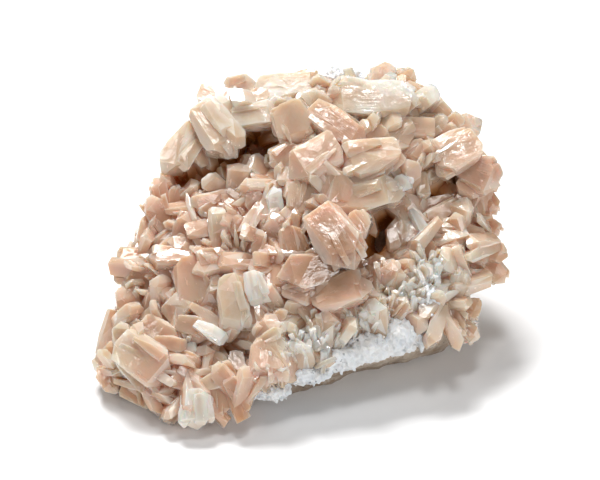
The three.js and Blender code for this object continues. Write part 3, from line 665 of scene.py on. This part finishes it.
def scattered(kind, large):
    """Blades scattered evenly over the druse, in sprays that open from shared middles."""
    found = []
    for i in range(1, kind.tries + 1):
        rng = np.random.default_rng(kind.seed + i)
        x = FIELD_LEFT + FIELD_WIDTH * ((i * EVEN_STEP_X + kind.seed * 0.1) % 1)
        up = FIELD_BOTTOM + FIELD_HEIGHT * ((i * EVEN_STEP_UP + kind.seed * 0.1) % 1)
        if not inside_outline(x * kind.inset, up * kind.inset) or hidden_by(large, x, up):
            continue
        if swell_at(RELIEF, x, up) < DEEPEST_GROWTH:
            continue
        long = rng.uniform(*kind.long)
        wide = long * rng.uniform(*kind.wide)
        thick = wide * rng.uniform(*kind.thick)
        column, row = round(x / SPRAY_APART), round(up / SPRAY_APART)
        spray = np.random.default_rng(1000 * (column + 100) + row + 100)
        spray_x = SPRAY_APART * (column + spray.uniform(-0.7, 0.7))
        spray_up = SPRAY_APART * (row + spray.uniform(-0.9, 0.5))
        turn = math.degrees(math.atan2(up - spray_up, x - spray_x)) + rng.uniform(-22, 22)
        lean = spray.uniform(5, 40) + rng.uniform(-12, 12)
        roll = spray.uniform(0, 180) + rng.uniform(-25, 25)
        crystal = Crystal(x, up, 0, long, wide, thick, turn, lean, roll, tint_near(up, rng))
        found.append((crystal, druse_out(x, up) + rng.uniform(*kind.rise)))
    return found


def edge_crystals():
    """Crystals round the druse's edge, pointing away from its middle and a little backwards."""
    found = []
    for i in range(EDGE_TRIES):
        rng = np.random.default_rng(EDGE_SEED + i)
        place = i / EDGE_TRIES * len(DRUSE_OUTLINE)
        ax, ay = DRUSE_OUTLINE[int(place)]
        bx, by = DRUSE_OUTLINE[(int(place) + 1) % len(DRUSE_OUTLINE)]
        share = place % 1
        x, up = ax + (bx - ax) * share, ay + (by - ay) * share
        if SEAM_LEFT < x < SEAM_RIGHT and up < SEAM_TOP:
            continue
        long = rng.uniform(5, 9)
        wide = long * rng.uniform(0.45, 0.65)
        crystal = Crystal(
            x * EDGE_INSET, up * EDGE_INSET, 0, long, wide, wide * rng.uniform(0.6, 0.9),
            math.degrees(math.atan2(up, x)) + rng.uniform(-40, 40),
            rng.uniform(-45, 5), rng.uniform(0, 180), tint_near(up, rng),
        )
        found.append((crystal, face_out(x, up) - rng.uniform(1, 11)))
    return found


def fringe():
    """Thin pale blades that fan up and outwards from the white seam, over the crystals above it."""
    found = []
    for number, lump in enumerate(SEAM_LUMPS[:-1]):
        for i in range(FRINGE_BLADES):
            rng = np.random.default_rng(FRINGE_SEED + number * 100 + i)
            x = lump.x + lump.across * rng.uniform(-0.9, 0.9)
            up = lump.up + lump.high + rng.uniform(-1, 8)
            long = rng.uniform(4, 9)
            wide = long * rng.uniform(0.18, 0.34)
            thick = wide * rng.uniform(0.4, 0.8)
            turn = 90 - 5 * (x - lump.x) + rng.uniform(-32, 32)
            lean, roll, tint = rng.uniform(5, 50), rng.uniform(0, 180), rng.uniform(-0.1, 0.5)
            crystal = Crystal(x, up, 0, long, wide, thick, turn, lean, roll, tint)
            found.append((crystal, face_out(x, up) + rng.uniform(4, 7.5)))
    return found


def bodies_of(crystals, first_seed):
    """Bodies of crystals that come with how far out they are."""
    return [crystal_body(crystal, out, first_seed + n) for n, (crystal, out) in enumerate(crystals)]


def druse_body():
    """The mass that the crystals stand on: a lens whose front follows the relief."""
    outline = np.array(DRUSE_OUTLINE, dtype=float)
    sides = zip(outline, np.roll(outline, -1, axis=0))
    fine = np.vstack([a + (b - a) * share for a, b in sides for share in (0, 0.33, 0.67)])
    count = len(fine)
    points, patches = [], []

    def ring(share, front):
        first = len(points)
        for x, up in fine * share:
            depth = DRUSE_EDGE_DEPTH + (DRUSE_DEPTH - DRUSE_EDGE_DEPTH) * (1 - share**2)
            back = face_out(x, up) - DRUSE_SET_BACK - depth
            out = druse_out(x, up) - 2 * share**8 if front else back
            points.append(seen(x, up, out))
        return first

    rings = [ring(share, True) for share in FRONT_RINGS]
    rings += [ring(share, False) for share in BACK_RINGS]
    for a, b in zip(rings, rings[1:]):
        for i in range(count):
            j = (i + 1) % count
            patches.append((a + i, a + j, b + j, b + i))
    points = np.array(points)
    bumps = 0.8 * noise(points * 0.4, 3) + 0.5 * noise(points * 0.9, 5)
    points = points + OUT_VIEW * bumps[:, None]
    front_cap = tuple(range(rings[0] + count - 1, rings[0] - 1, -1))
    back_cap = tuple(range(rings[-1], rings[-1] + count))
    return points, [*patches, front_cap, back_cap]


# Making and joining meshes


def unplaced_object(name, points, faces):
    """A mesh object from points in millimetres, not yet in the scene."""
    mesh = bpy.data.meshes.new(name)
    mesh.from_pydata((np.asarray(points) * MM).tolist(), [], faces)
    return bpy.data.objects.new(name, mesh)


def mesh_object(name, points, faces):
    """A mesh object from points in millimetres, in the scene."""
    piece = unplaced_object(name, points, faces)
    bpy.context.scene.collection.objects.link(piece)
    return piece


def gathered(shells):
    """Several shells, each of points and faces, as one."""
    points, faces = [], []
    for shell_points, shell_faces in shells:
        start = sum(len(p) for p in points)
        points.append(shell_points)
        faces += [[start + corner for corner in face] for face in shell_faces]
    return np.vstack(points), faces


def shaped_mesh(piece):
    """A new mesh of what a piece's modifiers make of it."""
    graph = bpy.context.evaluated_depsgraph_get()
    return bpy.data.meshes.new_from_object(piece.evaluated_get(graph))


def cut_at_table(block, name):
    """A piece with what its modifiers make of a block, cut off flat where it rests."""
    floor = box_under_table()
    cut = block.modifiers.new("rest", "BOOLEAN")
    cut.operation, cut.solver, cut.object = "DIFFERENCE", "MANIFOLD", floor
    mesh = shaped_mesh(block)
    bpy.data.objects.remove(floor)
    mesh.name = name
    mesh.materials.clear()
    piece = bpy.data.objects.new(name, mesh)
    bpy.context.scene.collection.objects.link(piece)
    return piece


def fused(name, shells, patch):
    """One closed skin of patches this wide round shells that run into each other."""
    block = mesh_object(name + "_block", *gathered(shells))
    skin = block.modifiers.new("skin", "REMESH")
    skin.mode, skin.voxel_size = "VOXEL", patch * MM
    piece = cut_at_table(block, name)
    bpy.data.objects.remove(block)
    return piece


def grown_together(name, shells):
    """One closed body of shells that run into each other, with their faces and edges kept sharp."""
    others = bpy.data.collections.new(name + "_others")
    bpy.context.scene.collection.children.link(others)
    for number, shell in enumerate(shells[1:]):
        others.objects.link(unplaced_object(f"{name}_{number}", *shell))
    first = mesh_object(name + "_first", *shells[0])
    join = first.modifiers.new("join", "BOOLEAN")
    join.operation, join.solver = "UNION", "MANIFOLD"
    join.operand_type, join.collection = "COLLECTION", others
    piece = cut_at_table(first, name)
    bpy.data.batch_remove([first, *others.objects])
    bpy.data.collections.remove(others)
    return piece


def box_under_table():
    """A box wider than the specimen, with the table as its top."""
    corners = [(x, y, z) for x in (-200, 200) for y in (-200, 200) for z in (-100, 0)]
    faces = [(0, 1, 3, 2), (4, 6, 7, 5), (0, 4, 5, 1), (2, 3, 7, 6), (0, 2, 6, 4), (1, 5, 7, 3)]
    return mesh_object("under_table", corners, faces)


def field_of(items, field, columns=3, kind=float):
    """A field of all vertices, corners or faces of a mesh, as rows."""
    values = np.empty(len(items) * columns, dtype=kind)
    items.foreach_get(field, values)
    return values.reshape(-1, columns)


def vertices_of(mesh):
    """The place of each vertex in millimetres."""
    return field_of(mesh.vertices, "co") / MM


def raised(mesh, shift):
    """Moves each point along its normal. Points at the table stay on it."""
    points = vertices_of(mesh)
    shift = shift * np.clip(points[:, 2] / TABLE_BAND, 0, 1)
    moved = points + field_of(mesh.vertex_normals, "vector") * shift[:, None]
    moved[:, 2] = np.maximum(moved[:, 2], 0)
    mesh.vertices.foreach_set("co", (moved * MM).ravel())
    mesh.update()


def roughen(mesh, waves):
    """Raises a mesh by waves of noise: (features per mm, height in mm, seed)."""
    points = vertices_of(mesh)
    raised(mesh, sum(height * noise(points * scale, seed) for scale, height, seed in waves))


def owners_of(points, bodies):
    """The number of the crystal each point lies on, or of none."""
    order = np.argsort(points[:, 0])
    ranked = points[order, 0]
    owner = np.full(len(points), len(bodies))
    nearest = np.full(len(points), FARTHEST_OWNER)
    for number, body in enumerate(bodies):
        reach = body.reach + 0.5
        first, last = np.searchsorted(ranked, (body.centre[0] - reach, body.centre[0] + reach))
        near = order[first:last]
        near = near[((points[near] - body.centre) ** 2).sum(axis=1) < reach**2]
        local = (points[near] - body.centre) @ body.axes
        off = (local @ body.normals.T - body.reaches).max(axis=1)
        closer = off < nearest[near]
        owner[near[closer]] = number
        nearest[near[closer]] = off[closer]
    return owner


def own_places(points, bodies, owner):
    """Each point in its own crystal's axes. Points of the ground keep their place."""
    centres = np.array([*(body.centre for body in bodies), (0, 0, 0)])
    axes = np.array([*(body.axes for body in bodies), np.eye(3)])
    return np.einsum("ij,ijk->ik", points - centres[owner], axes[owner])


def store(mesh, name, values, kind="FLOAT"):
    """Keeps a value for each face corner, for the material to use."""
    field = "vector" if kind == "FLOAT_VECTOR" else "value"
    layer = mesh.attributes.new(name, kind, "CORNER")
    layer.data.foreach_set(field, np.asarray(values, dtype=np.float32).ravel())


def describe(mesh, bodies):
    """Stores at each face corner what the material needs of its crystal and of its place on the druse."""
    corners = field_of(mesh.loops, "vertex_index", 1, np.int32)[:, 0]
    sides = field_of(mesh.polygons, "loop_total", 1, np.int32)[:, 0]
    points = vertices_of(mesh)[corners]
    owner = np.repeat(owners_of(field_of(mesh.polygons, "center") / MM, bodies), sides)
    own = own_places(points, bodies, owner)
    tints = np.array([*(body.crystal.tint for body in bodies), GROUND_TINT])
    lengths = np.array([*(body.crystal.long for body in bodies), GROUND_SIZE])
    widths = np.array([*(body.crystal.wide for body in bodies), GROUND_SIZE])
    x, up, out = seen_place(points)
    below_face = face_out(x, up) + SKIN_ABOVE - out
    below_druse = druse_out(x, up) + SKIN_ABOVE - out
    in_hollow = np.clip(-swell_at(RELIEF, x, up) / HOLLOW_RELIEF, 0, 1)
    not_deepest = np.clip(1.3 - below_druse / 5.5, 0, 1)
    store(mesh, "own", own + owner[:, None] * 11.3, "FLOAT_VECTOR")
    # The tint takes in the zones' painted shade and painted light as well as each crystal's own colour.
    store(mesh, "tint", tints[owner] + swell_at(TINT_AND_SHADE_ZONES, x, up))
    store(mesh, "along", np.clip(own[:, 0] / lengths[owner] + 0.5, 0, 1))
    store(mesh, "across", 2 * own[:, 1] / widths[owner])
    # The last two are masks for painted shade: how deep a place lies in a hollow of the druse, and how far it
    # is sunk below the druse's skin between the crystals.
    store(mesh, "hollow_shade", in_hollow * np.clip(below_face / HOLLOW_DEPTH, 0, 1))
    store(mesh, "crevice_shade", np.clip(below_druse / SUNK_DEPTH, 0, 1) * not_deepest)


def thin_out(piece, most):
    """Keeps at most this many triangles of a piece, where they matter most for its form."""
    count = sum(len(face.vertices) - 2 for face in piece.data.polygons)
    fewer = piece.modifiers.new("fewer", "DECIMATE")
    fewer.ratio = min(1.0, most / count)
    mesh = shaped_mesh(piece)
    piece.modifiers.clear()
    full = piece.data
    piece.data = mesh
    bpy.data.meshes.remove(full)
    mesh.name = piece.name


def crystal_piece(name, bodies, ground):
    """Crystals grown into each other and into the ground that they stand on."""
    piece = grown_together(name, [ground] + [(body.points, body.faces) for body in bodies])
    mesh = piece.data
    describe(mesh, bodies)
    mesh.shade_smooth()
    mesh.set_sharp_from_angle(angle=CRYSTAL_EDGE)
    mesh.materials.append(crystal_material())
    return piece


def rock_shell():
    """The broken rock as points and patches, still with its part below the table."""
    unit, patches = cube_sphere(ROCK_DETAIL)
    looks, reaches = [], []
    for f in ROCK_FACES:
        facing, rise = math.radians(f.facing), math.radians(f.rise)
        level = math.cos(rise)
        look = np.array([level * math.cos(facing), level * math.sin(facing), math.sin(rise)])
        looks.append(look)
        reaches.append(look @ (np.array([f.x, f.y, f.z]) - ROCK_MIDDLE))
    looks.append(np.array([0.0, 0.0, -1.0]))
    reaches.append(ROCK_MIDDLE[2] + ROCK_BELOW_TABLE)
    whole = unit * rounded_body(unit, np.array(looks), np.array(reaches), ROCK_CRISPNESS)[:, None]
    rng = np.random.default_rng(ROCK_SEED)
    for _ in range(SMALL_BREAKS):
        look = rng.normal(size=3)
        look = look / np.linalg.norm(look)
        if look[2] > LOWEST_BREAK:
            looks.append(look)
            reaches.append((whole @ look).max() - rng.uniform(*BREAK_DEPTH))
    reach = rounded_body(unit, np.array(looks), np.array(reaches), ROCK_CRISPNESS)
    points = unit * reach[:, None] + ROCK_MIDDLE - FOOTPRINT_MIDDLE
    chips = np.abs(noise(points * 0.09, 15)) * 2.2 + np.abs(noise(points * 0.2, 16)) * 1.2
    rough = 0.9 * noise(points * 0.12, 11) + 0.6 * noise(points * 0.33, 12) - chips + 0.8
    return points + unit * rough[:, None], patches.tolist()


def rock_piece():
    """The host rock under and behind the crust."""
    piece = fused("host_rock", [rock_shell()], ROCK_PATCH)
    roughen(piece.data, ROCK_WAVES)
    piece.data.shade_smooth()
    piece.data.materials.append(rock_material())
    return piece


def seam_needles(lump, number):
    """Needles over the front of a lump, most of them hanging down and outwards."""
    bodies = []
    for i in range(SEAM_NEEDLES // len(SEAM_LUMPS)):
        rng = np.random.default_rng(SEAM_SEED + number * 1000 + i)
        angle, share = rng.uniform(0, 2 * math.pi), math.sqrt(rng.random()) * 0.95
        x = lump.x + lump.across * share * math.cos(angle)
        up = lump.up + lump.high * share * math.sin(angle)
        out = lump.out + SEAM_THICKNESS * math.sqrt(1 - share**2) * rng.uniform(0.7, 1.0)
        long, wide = rng.uniform(2.5, 5.0), rng.uniform(0.8, 1.5)
        turn, lean, roll = rng.uniform(-130, 10), rng.uniform(10, 60), rng.uniform(0, 180)
        needle = Crystal(x, up, 0, long, wide, wide * 0.6, turn, lean, roll, 0)
        bodies.append(crystal_body(needle, out, SEAM_NEEDLE_SEED + number * 1000 + i))
    return bodies


def seam_piece():
    """The white fibrous seam under the druse's front edge."""
    unit, patches = cube_sphere(SEAM_DETAIL)
    shells = []
    for number, lump in enumerate(SEAM_LUMPS):
        lumpy = 0.16 * noise(unit * 3 + number * 5.0, 21) + 0.1 * noise(unit * 8 + number, 22)
        size = np.array([lump.across, lump.high, SEAM_THICKNESS])
        points = (unit * size * (1 + lumpy)[:, None]) @ VIEW_AXES.T + seen(lump.x, lump.up, lump.out)
        shells.append((points, patches.tolist()))
        shells += [(body.points, body.faces) for body in seam_needles(lump, number)]
    piece = fused("white_seam", shells, SEAM_PATCH)
    roughen(piece.data, SEAM_WAVES)
    thin_out(piece, SEAM_TRIANGLES)
    piece.data.shade_smooth()
    piece.data.set_sharp_from_angle(angle=SEAM_EDGE)
    piece.data.materials.append(seam_material())
    return piece


# Materials


def new_material(name):
    """A material with its node tree and its shader."""
    material = bpy.data.materials.new(name)
    material.use_nodes = True
    tree = material.node_tree
    tree.nodes.clear()
    output = tree.nodes.new("ShaderNodeOutputMaterial")
    shader = tree.nodes.new("ShaderNodeBsdfPrincipled")
    tree.links.new(shader.outputs["BSDF"], output.inputs["Surface"])
    return material, tree, shader


def feed(tree, socket, value):
    """Links an input to an output, or gives it a number, a colour or a vector."""
    if isinstance(value, bpy.types.NodeSocket):
        tree.links.new(value, socket)
    else:
        socket.default_value = (*value, 1.0) if socket.type == "RGBA" else value


def set_inputs(tree, node, values):
    for name, value in values.items():
        feed(tree, node.inputs[name], value)


def attribute(tree, name, output="Fac"):
    node = tree.nodes.new("ShaderNodeAttribute")
    node.attribute_name = name
    return node.outputs[output]


def object_place(tree):
    return tree.nodes.new("ShaderNodeTexCoord").outputs["Object"]


def scaled(tree, vector, scale):
    node = tree.nodes.new("ShaderNodeVectorMath")
    node.operation = "MULTIPLY"
    feed(tree, node.inputs[0], vector)
    feed(tree, node.inputs[1], scale)
    return node.outputs[0]


def noise_of(tree, vector, scale, detail=3.0, rough=0.55):
    node = tree.nodes.new("ShaderNodeTexNoise")
    set_inputs(tree, node, {"Vector": vector, "Scale": scale, "Detail": detail, "Roughness": rough})
    return node.outputs["Fac"]


def ranged(tree, value, low, high, to_low=0.0, to_high=1.0):
    node = tree.nodes.new("ShaderNodeMapRange")
    set_inputs(tree, node, {"Value": value, "From Min": low, "From Max": high})
    set_inputs(tree, node, {"To Min": to_low, "To Max": to_high})
    return node.outputs["Result"]


def calc(tree, operation, a, b):
    node = tree.nodes.new("ShaderNodeMath")
    node.operation = operation
    feed(tree, node.inputs[0], a)
    feed(tree, node.inputs[1], b)
    return node.outputs[0]


def mixed(tree, share, a, b):
    """A colour that goes from a to b as share goes from 0 to 1."""
    node = tree.nodes.new("ShaderNodeMix")
    node.data_type = "RGBA"
    for name, kind, value in (("Factor", "VALUE", share), ("A", "RGBA", a), ("B", "RGBA", b)):
        socket = next(s for s in node.inputs if s.name == name and s.type == kind)
        feed(tree, socket, value)
    return next(s for s in node.outputs if s.type == "RGBA")


def bumped(tree, height, strength, distance, below=None):
    node = tree.nodes.new("ShaderNodeBump")
    set_inputs(tree, node, {"Strength": strength, "Distance": distance, "Height": height})
    if below is not None:
        feed(tree, node.inputs["Normal"], below)
    return node.outputs["Normal"]


def crystal_material():
    """Glassy stilbite: cream to salmon and honey, paler at edges and tips, with painted shade in amber
    between the crystals and from amber to dark brown in the hollows.
    """
    material, tree, shader = new_material("stilbite_glassy")
    own = attribute(tree, "own", "Vector")
    place = object_place(tree)
    tint = attribute(tree, "tint")
    along = attribute(tree, "along")
    hollow_shade = attribute(tree, "hollow_shade")
    crevice_shade = attribute(tree, "crevice_shade")
    across = calc(tree, "ABSOLUTE", attribute(tree, "across"), 0.0)
    clouds = noise_of(tree, place, 110, 4)
    streaks = noise_of(tree, scaled(tree, own, (0.16, 0.5, 0.5)), 1.0, 4, 0.6)
    shade = calc(tree, "ADD", tint, ranged(tree, clouds, 0.3, 0.7, -0.35, 0.35))
    base = mixed(tree, ranged(tree, shade, 0.0, 0.8), CREAM, SALMON)
    base = mixed(tree, ranged(tree, shade, 0.8, 1.6), base, HONEY)
    base = mixed(tree, ranged(tree, shade, 0.1, -0.5), base, WHITE)
    patchy = ranged(tree, noise_of(tree, place, 160, 2), 0.45, 0.6)
    milky = calc(tree, "MULTIPLY", ranged(tree, streaks, 0.5, 0.7), ranged(tree, along, 0.2, 1.0, 0.05, 0.3))
    milky = calc(tree, "MULTIPLY", milky, patchy)
    base = mixed(tree, milky, base, WHITE)
    edge = calc(tree, "MAXIMUM", ranged(tree, across, 0.7, 1.0), ranged(tree, along, 0.8, 1.0))
    base = mixed(tree, calc(tree, "MULTIPLY", edge, 0.4), base, WHITE)
    core = calc(tree, "MULTIPLY", ranged(tree, across, 0.55, 0.1), ranged(tree, along, 0.9, 0.5))
    base = mixed(tree, calc(tree, "MULTIPLY", core, 0.3), base, HONEY)
    # Painted shade: amber where a place is sunk between crystals or lies in a hollow, dark brown deep in the
    # hollows.
    base = mixed(tree, ranged(tree, crevice_shade, 0.1, 1.0, 0.0, 0.8), base, SHADE_AMBER)
    base = mixed(tree, ranged(tree, hollow_shade, 0.1, 0.5), base, SHADE_AMBER)
    base = mixed(tree, ranged(tree, hollow_shade, 0.4, 0.9), base, HOLLOW_SHADOW_BROWN)
    fine = noise_of(tree, scaled(tree, own, (0.2, 1.8, 1.8)), 1.0, 3)
    dents = noise_of(tree, place, 380, 3)
    normal = bumped(tree, calc(tree, "MULTIPLY", fine, patchy), 0.35, 0.0004)
    normal = bumped(tree, dents, 0.4, 0.0005, normal)
    rough = ranged(tree, streaks, 0.3, 0.7, 0.12, 0.3)
    set_inputs(tree, shader, {"Base Color": base, "Roughness": rough, "Normal": normal})
    set_inputs(tree, shader, {"Subsurface Weight": 0.9, "Subsurface Radius": (1.0, 0.7, 0.5)})
    set_inputs(tree, shader, {"Subsurface Scale": 0.006, "Transmission Weight": 0.2})
    set_inputs(tree, shader, {"Coat Weight": 1.0, "Coat Roughness": 0.06, "Coat Normal": normal})
    return material


def rock_material():
    """Tan broken rock with faint darker layers and specks."""
    material, tree, shader = new_material("host_rock_broken")
    place = object_place(tree)
    coarse = noise_of(tree, place, 45, 5)
    fine = noise_of(tree, place, 420, 5, 0.65)
    crystals = noise_of(tree, place, 900, 2)
    layers = noise_of(tree, scaled(tree, place, (1.0, 1.0, 5.0)), 90, 5, 0.6)
    base = mixed(tree, ranged(tree, coarse, 0.35, 0.65), ROCK_BROWN, ROCK_TAN)
    base = mixed(tree, ranged(tree, layers, 0.48, 0.62, 0.0, 0.7), base, ROCK_LAYERS)
    base = mixed(tree, ranged(tree, fine, 0.55, 0.7, 0.0, 0.6), base, ROCK_PALE)
    base = mixed(tree, ranged(tree, crystals, 0.68, 0.72), base, ROCK_BLACK)
    normal = bumped(tree, fine, 0.8, 0.0015)
    normal = bumped(tree, layers, 0.6, 0.0012, normal)
    set_inputs(tree, shader, {"Base Color": base, "Roughness": 0.8, "Normal": normal})
    return material


def seam_material():
    """White sugary seam with dark specks in places."""
    material, tree, shader = new_material("white_seam_sugary")
    place = object_place(tree)
    grains = noise_of(tree, place, 700, 4, 0.65)
    patches = noise_of(tree, place, 170, 3)
    specks = noise_of(tree, place, 480, 2)
    dark_part = ranged(tree, noise_of(tree, place, 75, 2), 0.5, 0.58)
    base = mixed(tree, ranged(tree, patches, 0.45, 0.65, 0.0, 0.5), SEAM_COLD, SEAM_WARM)
    dark = calc(tree, "MULTIPLY", ranged(tree, specks, 0.6, 0.66), dark_part)
    base = mixed(tree, dark, base, SEAM_DARK)
    normal = bumped(tree, grains, 0.8, 0.0012)
    set_inputs(tree, shader, {"Base Color": base, "Roughness": 0.5, "Normal": normal})
    set_inputs(tree, shader, {"Subsurface Weight": 0.4, "Subsurface Radius": (1.0, 0.9, 0.8)})
    set_inputs(tree, shader, {"Subsurface Scale": 0.001})
    return material


# The studio


def floor_piece():
    """The white table, which is no part of the specimen."""
    half = FLOOR_HALF
    corners = [(-half, -half, 0), (half, -half, 0), (half, half, 0), (-half, half, 0)]
    floor = mesh_object("floor", corners, [(0, 1, 2, 3)])
    material, tree, shader = new_material("floor_white")
    place = object_place(tree)
    base = mixed(tree, noise_of(tree, place, 3, 2), FLOOR_GREY, FLOOR_WHITE)
    set_inputs(tree, shader, {"Base Color": base, "Roughness": 0.9})
    floor.data.materials.append(material)


def area_light(light):
    """A lamp aimed at the specimen."""
    data = bpy.data.lights.new(light.name, "AREA")
    data.shape = "RECTANGLE"
    data.size, data.size_y = light.size
    data.energy = light.power
    lamp = bpy.data.objects.new(light.name, data)
    lamp.location = light.place
    aim = LIGHTS_AIM - Vector(light.place)
    lamp.rotation_euler = aim.to_track_quat("-Z", "Y").to_euler()
    bpy.context.scene.collection.objects.link(lamp)


def studio():
    """The light that the photo was taken in."""
    world = bpy.data.worlds.new("studio")
    world.use_nodes = True
    background = world.node_tree.nodes["Background"]
    background.inputs["Color"].default_value = (1.0, 1.0, 1.0, 1.0)
    background.inputs["Strength"].default_value = WORLD_LIGHT
    bpy.context.scene.world = world
    for light in LIGHTS:
        area_light(light)
    scene = bpy.context.scene
    scene.view_settings.view_transform = "Standard"
    scene.view_settings.look = "None"
    scene.view_settings.exposure = 0.0


def camera():
    """The eye of the front view."""
    data = bpy.data.cameras.new("camera")
    data.sensor_width = SENSOR_WIDTH
    data.lens = SENSOR_WIDTH * VIEW_DISTANCE / VIEW_WIDTH
    data.clip_start, data.clip_end = 0.01, 20.0
    eye = bpy.data.objects.new("camera", data)
    centre = seen(0, 0, 0) * MM
    eye.location = Vector(centre + OUT_VIEW * VIEW_DISTANCE * MM)
    eye.rotation_euler = Vector(-OUT_VIEW).to_track_quat("-Z", "Y").to_euler()
    bpy.context.scene.collection.objects.link(eye)
    bpy.context.scene.camera = eye


# The specimen

CRYSTALS = [*UPPER, *MIDDLE, *LOWER_RIGHT, *LEFT]

blades = bodies_of(scattered(MEDIUM, CRYSTALS) + edge_crystals() + fringe(), BLADE_SEED)
needles = bodies_of(scattered(NEEDLES, CRYSTALS), NEEDLE_SEED)
large = [body for region in REGIONS for body in large_bodies(region)]
crust = crystal_piece("crystals", large + blades + needles, druse_body())
rock = rock_piece()
seam = seam_piece()

for piece, node, finish in (
    (crust, "stilbite_crystals", "stilbite"),
    (rock, "matrix", "host_rock"),
    (seam, "matrix", "host_rock"),
):
    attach(piece, "root")
    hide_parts(node)

floor_piece()
studio()
camera()
